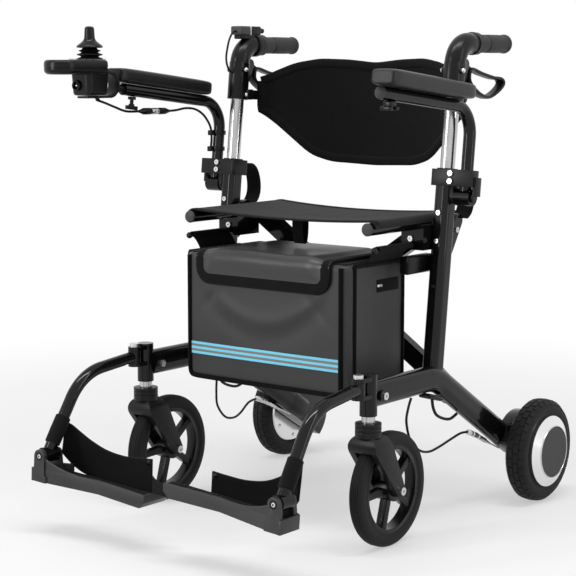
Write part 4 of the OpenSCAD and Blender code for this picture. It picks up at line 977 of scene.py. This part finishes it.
carry(turned_piece("control_cap", button_cap, (-handle_x, 163, button_z), (0, 1, 0), 32),
      shell_black, "button", "shell_plastic")
carry(block("control_foot", (-256, 106, 868.5), (-236, 150, 877.5), 2),
      shell_black, "right_handle", "shell_plastic")
print("control box: 6 pieces")

# %% [markdown]
# The joystick has a round-nosed upper shell, a lower box with a socket, a bellows boot and a flared knob.
# The shells are rings drawn in at the top and bottom, so every edge is soft. The boot and knob are turned.

# %% Joystick
stick_at = Vector((stick_x, -251.153, 828.52))


def shell_rim():
    line = arc(24.5, 9.5, 8, range(0, 91, 10))
    line = line + [(-x, y) for x, y in reversed(line)]
    line = line + [(-32.5, 9.5 - 77.5 * k / 10) for k in range(1, 10)]
    line = line + arc(0, -68, 32.5, range(180, 361, 5))
    return line + [(32.5, -68 + 77.5 * k / 10) for k in range(1, 11)]


def box_rim():
    line = []
    for cx, cy, start in ((14, 16.5, 0), (-14, 16.5, 90), (-14, -16.5, 180), (14, -16.5, 270)):
        line = line + arc(cx, cy, 11, range(start, start + 91, 10))
    return line + line[:1]


def ringed(name, rim, spine, rows):
    def shape(p, q):
        x, y = rim[int(round(p * (len(rim) - 1)))]
        inset, z = rows[int(round(q * (len(rows) - 1)))]
        core = Vector((0, min(max(y, spine[0]), spine[1])))
        reach = Vector((x, y)) - core
        spot = core + reach * max(0.0, 1 - inset / reach.length)
        return tuple(stick_at + Vector((spot.x, spot.y, z)))
    return formed_shell(name, len(rim) - 1, len(rows) - 1, shape)


upper_rows = [
    (60, -26), (12, -26), (6, -25.4), (2.4, -23.4), (0.6, -20.6), (0, -17), (0, -15.2), (0.7, -14.8),
    (0.7, -14), (0, -13.6), (0, -7), (0.6, -3.8), (2.2, -1.4), (5, -0.3), (9, 0), (60, 0)
]
box_rows = [
    (60, -63.5), (8, -63.5), (4.6, -62.6), (2.8, -60.4), (2.2, -57), (1.2, -42), (0.4, -31), (0, -25),
    (-1, -20)
]
upper = ringed("joystick_shell", shell_rim(), (-68, -14.5), upper_rows)
carry(upper, shell_black, "right_arm", "shell_plastic", "joystick_housing")
carry(ringed("joystick_box", box_rim(), (-2, 2), box_rows), shell_black, "right_arm", "shell_plastic")
top = stick_at + Vector((0, -6, 0))
carry(block("joystick_plinth", top + Vector((-27, -20, 0.5)), top + Vector((27, 20, 1.5)), 0.4),
      shell_black, "right_arm", "shell_plastic")
socket_at = stick_at + Vector((-6, -27, -45.5))
socket_ring = [(0, -2), (6, -2), (6.4, 3.4), (7, 4.2), (8.8, 4.2), (9.5, 3.4), (9.5, -1.5)]
socket_pin = [(0, 2.4), (1.5, 2.2), (2, 1.6), (2, -2)]
carry(turned_piece("joystick_socket_ring", socket_ring, socket_at, (0, -1, 0), 40),
      shell_black, "right_arm", "shell_plastic")
carry(turned_piece("joystick_socket_pin", socket_pin, socket_at, (0, -1, 0), 20),
      bolt_bright, "right_arm", "bright_steel")
boot_profile = [
    (12, 0.2), (22.8, 0.2), (23.8, 0.9), (23.8, 1.9), (22.6, 2.8), (17, 4.6), (15.8, 5.6), (17, 6.6),
    (22, 7.8), (23, 8.6), (23, 9.5), (21.8, 10.4), (16.4, 12), (15.2, 13), (16.2, 14), (19.4, 15),
    (20.2, 15.7), (19.4, 16.6), (14.8, 18), (13, 20.8), (12, 20.8), (12, 0.2)
]
boot = turned_piece("joystick_bellows", boot_profile, stick_at, (0, 0, 1), 64)
boot_foot, boot_head = [tuple((stick_at + Vector((0, 0, z))) * mm) for z in (1, 20)]
bridge(boot, boot_rubber, "boot_rubber", ("right_arm", "stick_ring"), boot_foot, boot_head, "joystick_boot")
knob_profile = [
    (0, 20.8), (16, 20.8), (22.4, 21), (23.8, 22), (23.6, 23.4), (21.6, 25.8), (17.4, 29), (13.4, 32),
    (11, 34.8), (9.8, 38), (9.3, 43), (8.9, 50), (8.6, 54.6), (7.6, 57.2), (5.4, 58.6), (2.4, 59), (0, 59)
]
knob = turned_piece("joystick_knob", knob_profile, stick_at, (0, 0, 1), 56)
carry(knob, shell_black, "stick", "shell_plastic", "joystick_stick")
print("joystick pieces: 7")

# %% [markdown]
# The arm pads are firm foam under tight vinyl: square in section with round edges, and a little higher
# along the middle. A closed shell is laid out by angle, squared with powers of sine and cosine, and set
# on the arm tube.

# %% Arm pads
def on_upright(side, x, v, u):
    y = upright_y + v * math.cos(lean) + u * math.sin(lean)
    z = upright_z - v * math.sin(lean) + u * math.cos(lean)
    return (side * (handle_x + x), y, z)


def arm_pad_point(side):
    def shape(p, q):
        a, t = 2 * math.pi * p, math.pi * (q - 0.5)
        across, up = squared(math.cos(a), 0.32), squared(math.sin(a), 0.42)
        end = abs(math.cos(t)) ** 0.16
        reach = squared(math.sin(t), 0.16)
        draw = 1 - 0.018 * math.cos(math.pi * reach / 2) ** 2
        crown = 1.3 * (1 - across ** 2) * (1 - reach ** 2) if up > 0 else 0
        rise = 501.3 + 13.4 * up * end + crown
        return on_upright(side, 52 + 25 * across * end * draw, -167 - 126 * reach, rise)
    return shape


for side, s in sides:
    pad = formed_shell(f"arm_cushion_{side}", 72, 60, arm_pad_point(s))
    carry(pad, pad_vinyl, f"{side}_arm", "pad_vinyl", f"arm_pad_{side}")
print("arm pads: 2")

# %% [markdown]
# The seat is one cloth, hemmed at the front and rear and wrapped over the two rails. It sags between them,
# most at the middle, and its hems are double. A grid is laid along that path, and Solidify thickens it.

# %% Seat cloth
wrap_r, wrap_share = 13.2, 0.12
seat_front, seat_depth = -81, 270


def seat_path(p):
    if min(p, 1 - p) < wrap_share:
        side = -1 if p < 0.5 else 1
        a = math.radians(175 - 85 * min(p, 1 - p) / wrap_share)
        return side * (rail_out - wrap_r * math.cos(a)), rail_height + wrap_r * math.sin(a), 0.0
    x = -rail_out + 2 * rail_out * (p - wrap_share) / (1 - 2 * wrap_share)
    return x, rail_height + wrap_r, 1 - (x / rail_out) ** 2


def seat_shape(p, q):
    x, z, inner = seat_path(p)
    y = seat_front + seat_depth * q
    mid = math.sin(math.pi * q)
    ripple = 0.5 * math.sin(x / 9.0) * mid ** 4
    draw = -9 * inner * (2 * q - 1)
    return (x, y + draw * abs(2 * q - 1) ** 3, z - inner * (7.5 + 3 * mid) + ripple * inner)


seat_span = (("brace_a", "brace_b"), (-0.19, 0, 0.54), (0.19, 0, 0.54))
seat = cloth("seat_cloth", 110, 70, seat_shape, 2.6)
bridge(seat, seat_cloth, "seat_fabric", *seat_span, "seat_sling")


def seat_hem(edge, inward):
    def shape(p, q):
        x, y, z = seat_shape(0.02 + 0.96 * p, edge)
        return (x, y + inward * (16 * q - 1.3), z + 1.5 - 2.4 * max(0.0, 1 - 4 * q))
    return shape


for name, edge, inward in (("seat_hem_front", 0.0, 1), ("seat_hem_rear", 1.0, -1)):
    bridge(cloth(name, 90, 8, seat_hem(edge, inward), 1.1), webbing, "strap_web", *seat_span)


def pull_strap(p, q):
    t = math.pi * q
    return (-12 + 24 * p, -14 - 8 * math.cos(t), rail_height - 42 * math.sin(t) ** 0.7)


strap = cloth("seat_pull_strap", 6, 44, pull_strap, 1.8)
bridge(strap, webbing, "strap_web", *seat_span)
run_length([pull_strap(0, k / 44) for k in range(45)])
print("seat cloth, 2 hems and a pull strap")

# %% [markdown]
# The backrest is a mesh web between the handle posts, bowed to the rear and cut to a saddle outline, with
# a bound edge. The web is a grid between two smooth edge lines, and the binding is a flat tube that
# follows its border.

# %% Backrest
back_top = [(0, -42), (60, -36), (120, -34), (168, -42), (205, -58), (232, -71)]
back_low = [(0, -220), (96, -216), (136, -204), (168, -176), (205, -142), (232, -121)]
back_half, back_bow, back_end, web_half = 232, 60, 163.5, 231
bow_r = (back_half ** 2 + back_bow ** 2) / (2 * back_bow)


def straight_at(table, x):
    for (x0, z0), (x1, z1) in zip(table, table[1:]):
        if x <= x1:
            return z0 + (z1 - z0) * (x - x0) / (x1 - x0)
    return table[-1][1]


def level_at(table, x):
    nearby = [abs(abs(x) + step) for step in (-12, -8, -4, 0, 4, 8, 12)]
    return sum(straight_at(table, spot) for spot in nearby) / len(nearby)


def back_point(x, share):
    top, low = level_at(back_top, x), level_at(back_low, x)
    r = bow_r - 4
    y = back_end + back_bow - bow_r + math.sqrt(r * r - x * x)
    belly = 5 * math.sin(math.pi * share) * (1 - (x / back_half) ** 2)
    return (x, y + belly, grip_z + low + (top - low) * share)


def crumple(piece):
    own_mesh(piece)


web = cloth("back_web", 80, 34, lambda p, q: back_point(-web_half + 2 * web_half * p, q), 4)
carry(web, back_cloth, "left_handle", "back_mesh", "backrest")
crumple(web)


def back_rim():
    xs = [-web_half + 2 * web_half * k / 60 for k in range(61)]
    line = [back_point(x, 1) for x in xs] + [back_point(web_half, 1 - k / 8) for k in range(1, 8)]
    line = line + [back_point(x, 0) for x in reversed(xs)]
    line = line + [back_point(-web_half, k / 8) for k in range(1, 9)]
    rim = []
    for k, point in enumerate(line):
        ahead, behind = Vector(line[(k + 1) % len(line)]), Vector(line[k - 1])
        share = point[0] / bow_r
        out = Vector((share, math.sqrt(1 - share ** 2), 0))
        rim.append((Vector(point), (ahead - behind).normalized().cross(out).normalized(), out))
    return rim


def band_round(rim, width, height):
    def shape(p, q):
        spot, inward, out = rim[int(round(q * (len(rim) - 1)))]
        a = 2 * math.pi * p
        wide, high = width / 2 * squared(math.cos(a), 0.7), height / 2 * squared(math.sin(a), 0.7)
        return tuple(spot + inward * wide + out * high)
    return shape


rim = back_rim()
binding = formed_shell("back_binding", 10, len(rim) - 1, band_round(rim, 17, 6.4))
carry(binding, webbing, "left_handle", "strap_web")
crumple(binding)
print("backrest web and binding")

# %% [markdown]
# Each heel strap is a padded band from a sleeve on the footrest tube to the footplate's inner end. It is
# a ribbon between two edge lines through measured stations, thickened, with a rivet at its inner corner.

# %% Heel straps
heel_stations = [
    (4, (35, -5), (45.1, 50.8)), (-12, (43.5, -23), (46, 46)), (-30, (51.5, -36), (50, 34)),
    (-52, (56.5, -42), (54, 21)), (-84, (57.5, -43), (57, 9)), (-124, (58, -43), (58, 4)),
    (-164, (57.5, -43), (57.5, 6)), (-194, (57, -43), (57, 9))
]
sleeve_wrap = [
    (11.3, 0), (12.8, 0.3), (13.6, 1.4), (13.8, 26), (13.6, 50.4), (12.8, 51.6), (11.3, 52), (11.3, 0)
]
rivet_head = [(0, 2.4), (2.2, 2.2), (4, 1.2), (4.8, 0), (0, 0)]
plate_tilt = {1: math.radians(4), -1: math.radians(-3)}
hinge = (262.165, -397.53, 140.71)
tube_up = Vector((-0.0206, 0.5369, 0.8434))


def on_plate(s, x, y, z):
    c, d = math.cos(plate_tilt[s]), math.sin(plate_tilt[s])
    return (s * (hinge[0] + x * c + z * d), hinge[1] + y, hinge[2] - x * d + z * c)


def on_run(run, t):
    k = min(len(run) - 2, int(t * (len(run) - 1)))
    return run[k].lerp(run[k + 1], t * (len(run) - 1) - k)


for side, s in sides:
    low = smooth_run([on_plate(s, dx, *a) for dx, a, b in heel_stations], 8)
    upper = [(s * (hinge[0] + dx), hinge[1] + b[0], hinge[2] + b[1]) for dx, a, b in heel_stations]
    high = smooth_run(upper, 8)

    def heel_shape(p, q):
        spot = on_run(low, p).lerp(on_run(high, p), q)
        return (spot.x, spot.y + 2.5 * math.sin(math.pi * q) * math.sin(math.pi * p), spot.z)

    band = cloth(f"heel_band_{side}", 72, 14, heel_shape, 4.2, bevel=1.2)
    bridge(band, strap_foam, "strap_web", (f"{side}_hanger", f"{side}_footplate"),
           (s * 0.245, -0.355, 0.165), (s * 0.205, -0.348, 0.15), f"heel_strap_{side}")
    way = Vector((s * tube_up.x, tube_up.y, tube_up.z))
    base = Vector((s * hinge[0], hinge[1], hinge[2] + 6)) + way * 14
    carry(turned_piece(f"heel_sleeve_{side}", sleeve_wrap, base, way, 48),
          strap_foam, f"{side}_hanger", "strap_web")
    spot = (s * (hinge[0] - 187), hinge[1] + 54.9, hinge[2] + 2)
    carry(turned_piece(f"heel_rivet_{side}", rivet_head, spot, (0, -1, 0), 20),
          shell_black, f"{side}_footplate", "shell_plastic")
print("heel straps: 2")

# %% [markdown]
# Each footplate is a tray with a high front rim, and its sides fall away to the rear, where the heel
# strap stands. A wedge cuts the sides of the solid's copy, and a ribbed rubber mat lies in the tray. A
# web runs from the front lug down to the rim, and the hinge pin ends in a bright screw inside a dark
# washer. They are laid out in the plate's own frame, then tilted about the hinge as the plate is.

# %% Footplates
rim_front = [(14.5, -22.3), (-125, -1.7), (-237.7, -10.7)]
rim_back = [(14.5, 23), (-40, 51.3), (-125, 51.3), (-237.7, 47.3)]
washer_profile = [(4.4, -1), (7.4, -1), (7.4, 0.3), (6.9, 0.8), (4.8, 0.8), (4.4, 0.4), (4.4, -1)]
screw_profile = [(0, -0.4), (1.7, -0.4), (1.8, 0.9), (3.4, 0.9), (4.1, 0.3), (4.1, -2), (0, -2)]


def rim_line(table, x):
    for (x0, y0), (x1, y1) in zip(table, table[1:]):
        if x >= x1:
            return y0 + (y1 - y0) * (x - x0) / (x1 - x0)
    return table[-1][1]


def mat_shape(s):
    def shape(p, q):
        x = -19 - 215.5 * p
        front, back = rim_line(rim_front, x) + 2.6, rim_line(rim_back, x) - 2.6
        rib = 0.8 * squared(math.sin(2 * math.pi * x / 10), 0.5)
        edge = min(1.0, 30 * min(q, 1 - q), 30 * min(p, 1 - p))
        return on_plate(s, x, front + (back - front) * q, -38.2 + rib * edge - 0.8 * (1 - edge))
    return shape


def web_shape(s):
    def shape(p, q):
        x = -9 - 88 * p
        top = -1 - 20.6 * math.sin(math.pi / 2 * p) ** 0.8
        return on_plate(s, x, rim_line(rim_front, x) - 0.6, -42 + (top + 42) * q)
    return shape


def rim_wedge(s):
    clear()
    bpy.ops.mesh.primitive_cube_add(size=2)
    wedge = bpy.context.object
    for point in wedge.data.vertices:
        x = -262 if point.co.x < 0 else -20
        y = 4 if point.co.y < 0 else 64
        z = 10 if point.co.z > 0 else (-21.4 if point.co.y < 0 else -44)
        point.co = Vector(on_plate(s, x, y, z)) * mm
    face_out(wedge)
    return wedge


for side, s in sides:
    body = f"{side}_footplate"
    plate = edged(f"footplate_{side}", 1.2, 2, cutter=rim_wedge(s))
    carry(plate, plate_grey, body, "plate_plastic", f"footplate_{side}")
    mat = cloth(f"plate_mat_{side}", 170, 16, mat_shape(s), 2)
    carry(mat, mat_rubber, body, "plate_plastic")
    web = cloth(f"plate_web_{side}", 40, 10, web_shape(s), 4, bevel=1.2)
    carry(web, plate_grey, body, "plate_plastic")
    spot = (s * hinge[0], hinge[1] - 24.2, hinge[2])
    washer = turned_piece(f"plate_washer_{side}", washer_profile, spot, (0, -1, 0), 32)
    carry(washer, shell_black, body, "shell_plastic")
    screw = turned_piece(f"plate_screw_{side}", screw_profile, spot, (0, -1, 0), 24)
    carry(screw, bolt_bright, body, "bright_steel")
print("footplate pieces: 10")

# %% [markdown]
# The belt straps are short loops of webbing behind the uprights, stitched flat at both ends.

# %% Belt straps
belt_route = [
    (113.1, 628), (130, 627), (143, 618), (151, 602), (154, 584), (152, 568), (145, 556), (134.1, 548.7)
]
for side, s in sides:
    run = smooth_run([(0, y, z) for y, z in belt_route], 7)

    def belt_shape(p, q):
        spot = on_run(run, q)
        return (s * (229.4 + 33.2 * p), spot.y, spot.z)

    belt = cloth(f"belt_web_{side}", 8, 56, belt_shape, 2.4)
    carry(belt, webbing, f"{side}_frame", "strap_web", f"belt_strap_{side}")
print("belt straps: 2")

# %% [markdown]
# The bag is one lofted shell. Each ring is a rounded rectangle, drawn in at the bottom and top, and the
# panels swell. The front carries the shallow swag that loaded vinyl takes under its flap, with slanted
# creases from the corners.

# %% Bag shell
bag_half_w, bag_half_d, bag_mid_y, bag_low, bag_top = 187, 90, -32.5, 252, 481
ring_shares = (0.28, 0.055, 0.155, 0.055, 0.21, 0.055, 0.135, 0.055)


def ring_point(t, a, b, r):
    corners = ((a - r, r - b, -90), (a - r, b - r, 0), (r - a, b - r, 90), (r - a, r - b, 180))
    straights = (
        ((r - a, -b), (a - r, -b)), ((a, r - b), (a, b - r)), ((a - r, b), (r - a, b)),
        ((-a, b - r), (-a, r - b))
    )
    t = min(max(t, 0.0), 1.0)
    for k, share in enumerate(ring_shares):
        if t <= share or k == 7:
            w = min(1.0, t / share)
            if k % 2 == 0:
                (x0, y0), (x1, y1) = straights[k // 2]
                return x0 + (x1 - x0) * w, y0 + (y1 - y0) * w
            cx, cy, start = corners[k // 2]
            turn = math.radians(start + 90 * w)
            return cx + r * math.cos(turn), cy + r * math.sin(turn)
        t -= share


def bump_at(value, width):
    return math.exp(-(value / width) ** 2)


def rise_at(z):
    return math.sin(math.pi * min(1.0, max(0.0, (z - bag_low) / (bag_top - bag_low))))


def flat_share(x):
    return 1 - max(0.0, (abs(x) - 150) / 37) ** 2


def front_swell(x, z):
    swell = 4.5 * rise_at(z) * math.cos(math.pi * x / 390)
    swag = z - (368 + 34 * (x / 100) ** 2)
    fade = max(0.0, 1 - (x / 150) ** 4)
    fold = 3.4 * bump_at(swag, 15) - 2.6 * bump_at(swag + 30, 20)
    crease = 0.0
    for end in (-1, 1):
        crease += 2.6 * bump_at((x - end * 128) * 0.55 + end * (z - 392) * 0.5, 6) * bump_at(z - 405, 26)
    return swell + fade * fold - crease


def side_swell(y, z):
    return (3.0 * rise_at(z) - 3.4 * bump_at(z - 372, 34)) * math.cos(math.pi * y / 190)


def bag_rise(q):
    steps = (
        (0, 89, 250), (0.1, 10, 252), (0.13, 3, 254), (0.16, 0, 260), (0.84, 0, 473), (0.87, 3, 478.6),
        (0.9, 10, 481), (1, 89, 478)
    )
    for (q0, i0, z0), (q1, i1, z1) in zip(steps, steps[1:]):
        if q <= q1:
            w = (q - q0) / (q1 - q0)
            return i0 + (i1 - i0) * w, z0 + (z1 - z0) * w


def bag_shape(p, q):
    inset, z = bag_rise(q)
    x, y = ring_point(p, bag_half_w - inset, bag_half_d - inset, max(1.0, 20 - inset))
    if inset < 1:
        deep = 1 - max(0.0, (abs(y) - 60) / 30) ** 2
        if y < -60:
            y -= front_swell(x, z) * flat_share(x)
        elif y > 60:
            y += 2.4 * flat_share(x) * rise_at(z)
        if abs(x) > 160:
            x += math.copysign(side_swell(y, z) * deep, x)
    return (x, bag_mid_y + y, z)


def on_bag(piece, look, slot, *stands_for):
    carry(piece, look, "left_frame", slot, *stands_for)
    crumple(piece)


def lining_shape(p, q):
    return (-176 + 352 * p, bag_mid_y - 82 + 164 * q, 481.8 - 2.5 * math.sin(math.pi * p))


shell = formed_shell("bag_shell", 220, 96, bag_shape)
on_bag(shell, bag_vinyl, "bag_vinyl", "bag_body")
on_bag(cloth("bag_lining", 40, 20, lining_shape, 1), bag_lining, "bag_vinyl")
print("bag shell faces:", len(shell.data.polygons))

# %% [markdown]
# Black piping covers the seams between the bag's panels, a reflective tape crosses its front, and each
# side has a slot handle. Piping is a round bead along the seam. Tape and slots lie on the swollen panels.

# %% Bag trim
def bead(name, points, width):
    on_bag(as_mesh(cable_run(name, points, width)), piping, "strap_web")


def front_seam(x, z):
    return (x, bag_mid_y - bag_half_d - front_swell(x, z) * flat_share(x) + 0.6, z)


hem_path = [(187, 474), (189.4, 481), (194, 489), (200, 497)] + arc(210.5, 505, 6.2, range(215, -60, -25))
for tag, end in sides:
    face = [(end * 171.5, bag_mid_y - 90.3, z) for z in (476, 460, 430, 400, 360, 320, 290, 267)]
    foot = [
        (end * 169, bag_mid_y - 89.6, 257), (end * 160, bag_mid_y - 88.4, 253.4),
        (end * 120, bag_mid_y - 87.6, 252.6), (0, bag_mid_y - 87.4, 252.4)
    ]
    bead(f"bag_bead_front_{tag}", [tuple(p) for p in smooth_run(face + foot, 5)], 9)
    for y, where in ((bag_mid_y - 72, "near"), (bag_mid_y + 73, "far")):
        edge = [(end * (bag_half_w - 0.1), y, z) for z in (478, 460, 430, 400, 360, 320, 290, 259)]
        bead(f"bag_bead_side_{where}_{tag}", [tuple(p) for p in smooth_run(edge, 5)], 8)
    top = [(end * (bag_half_w + 0.4), y, 478.6) for y in range(-104, 42, 12)]
    bead(f"bag_bead_top_{tag}", top, 8)
    slot_x = bag_half_w + 0.4 + side_swell(24, 438)
    hole = block(f"bag_slot_{tag}", (slot_x - 1.6, -41.5, 427), (slot_x + 0.9, 24.5, 449), 0.8, 2)
    if end < 0:
        hole.data.transform(Matrix.Scale(-1, 4, (1, 0, 0)))
        face_out(hole)
    on_bag(hole, bag_lining, "bag_vinyl")
    near, far = sorted((end * slot_x, end * (slot_x + 2)))
    pull = block(f"bag_zip_pull_{tag}", (near, -41, 436.5), (far, -27, 441), 0.7, 2)
    on_bag(pull, bolt_bright, "bright_steel")

    def hem_shape(p, q):
        spot = on_run([Vector((x, 0, z)) for x, z in hem_path], p)
        return (end * spot.x, -72.6 + 102.4 * q, spot.z)

    hem = cloth(f"bag_hem_{tag}", 40, 30, hem_shape, 1.4)
    carry(hem, webbing, "left_frame", "strap_web")
    crumple(hem)


def tape_shape(p, q):
    x, y, z = front_seam(-167 + 334 * p, tape_low + tape_height * q)
    return (x, y - 1.3, z)


on_bag(cloth("bag_tape", 70, 6, tape_shape, 0.8), tape, "bag_vinyl")
print("bag trim made")

# %% [markdown]
# The flap is a padded lid that folds down over the front, with a broad webbing binding. It is laid out as
# a flat pattern with round front corners, bent over the front edge, and raised where the padding is away
# from the binding.

# %% Bag flap
flap_half, flap_run, flap_bend, flap_drop, corner = 150, 164, 12, 44, 30
flap_back, flap_level = 50, 484
flap_len = flap_run + flap_bend * math.pi / 2 + flap_drop


def flap_place(x, d, lift):
    if d < flap_run:
        return (x, flap_back - d, flap_level + lift)
    y, z = flap_back - flap_run, flap_level - flap_bend
    turn = min(math.pi / 2, (d - flap_run) / flap_bend)
    over = d - flap_run - flap_bend * turn
    reach = flap_bend + lift
    return (x, y - reach * math.sin(turn), z + reach * math.cos(turn) - over)


def edge_gap(x, d):
    side, front = abs(x) - (flap_half - corner), d - (flap_len - corner)
    if side > 0 and front > 0:
        return corner - math.hypot(side, front)
    return min(flap_half - abs(x), flap_len - d)


def padding(x, d):
    inner = min(1.0, max(0.0, (edge_gap(x, d) - 14) / 34))
    swell = inner * inner * (3 - 2 * inner)
    dimple = 0.8 * math.sin(x / 26) * math.sin(d / 31)
    return 0.9 + (4.6 + dimple) * swell


def flap_shape(p, q):
    d = flap_len * q
    front = d - (flap_len - corner)
    reach = flap_half - corner + math.sqrt(max(0.0, corner ** 2 - front ** 2)) if front > 0 else flap_half
    x = (2 * p - 1) * reach
    return flap_place(x, d, padding(x, d))


lid = cloth("flap_pad", 100, 90, flap_shape, 2.6, offset=-1)
carry(lid, flap_vinyl, "flap", "bag_vinyl", "bag_flap")
crumple(lid)


def flap_border():
    line = [(flap_half, (flap_len - corner) * k / 40, -1, 0) for k in range(40)]
    for k in range(17):
        a = math.radians(90 * k / 16)
        c, d = math.cos(a), math.sin(a)
        line.append((flap_half - corner + corner * c, flap_len - corner + corner * d, -c, -d))
    line = line + [(x, flap_len, 0, -1) for x in range(116, 0, -6)]
    return line + [(-x, d, -nx, nd) for x, d, nx, nd in reversed(line)]


border = flap_border()
bind_rows = [
    (-1.2, -2.2), (-1.6, 0), (-1.2, 1.8), (0.5, 2.6), (4, 2.9), (10, 2.9), (17, 2.7), (19.2, 2.2), (20, 0.6)
]


def binding_shape(p, q):
    x, d, nx, nd = border[int(round(q * (len(border) - 1)))]
    w, lift = bind_rows[int(round(p * (len(bind_rows) - 1)))]
    x, d = x + nx * w, d + nd * w
    return flap_place(x, d, lift + padding(x, d) * 0.5)


trim = cloth("flap_binding", len(bind_rows) - 1, len(border) - 1, binding_shape, 1.2, angle=60)
carry(trim, webbing, "flap", "strap_web")
crumple(trim)
print("flap and binding, faces:", len(lid.data.polygons) + len(trim.data.polygons))

# %% [markdown]
# Last, small fittings on the handles: the through bolt of each elbow with its washers,
# and the lug that takes the backrest's strap.

# %% Handle fittings
elbow_washer = [(0, 3), (3.4, 3), (5.6, 2.2), (6, 0.4), (6, -1.2), (0, -1.2)]
elbow_bolt = [(0, 6.8), (2, 6.6), (3.6, 5.6), (4.4, 4), (4.4, 2.4), (0, 2.4)]
elbow_stud = [(0, 3), (2, 2.8), (3.4, 2), (4, 0.4), (4, -1), (0, -1)]
for side, s in sides:
    body = f"{side}_handle"
    for face in (1, -1):
        spot, way = (s * (handle_x + face * 18.6), 104.8, 809.8), (s * face, 0, 0)
        carry(turned_piece(f"elbow_washer_{side}_{face + 1}", elbow_washer, spot, way, 32),
              shell_black, body, "shell_plastic")
        carry(turned_piece(f"elbow_bolt_{side}_{face + 1}", elbow_bolt, spot, way, 24),
              bolt_bright, body, "bright_steel")
    near, far = sorted((s * 222, s * 233))
    carry(block(f"elbow_lug_{side}", (near, 107, 752), (far, 125, 772), 2.4),
          shell_black, body, "shell_plastic")
    carry(turned_piece(f"elbow_stud_{side}", elbow_stud, (s * 226.6, 107, 762), (0, -1, 0), 24),
          bolt_bright, body, "bright_steel")
print("elbow bolts: 4, lugs: 2")

# %% Close
low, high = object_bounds()
print("dressed size:", [round(b - a, 4) for a, b in zip(low, high)])
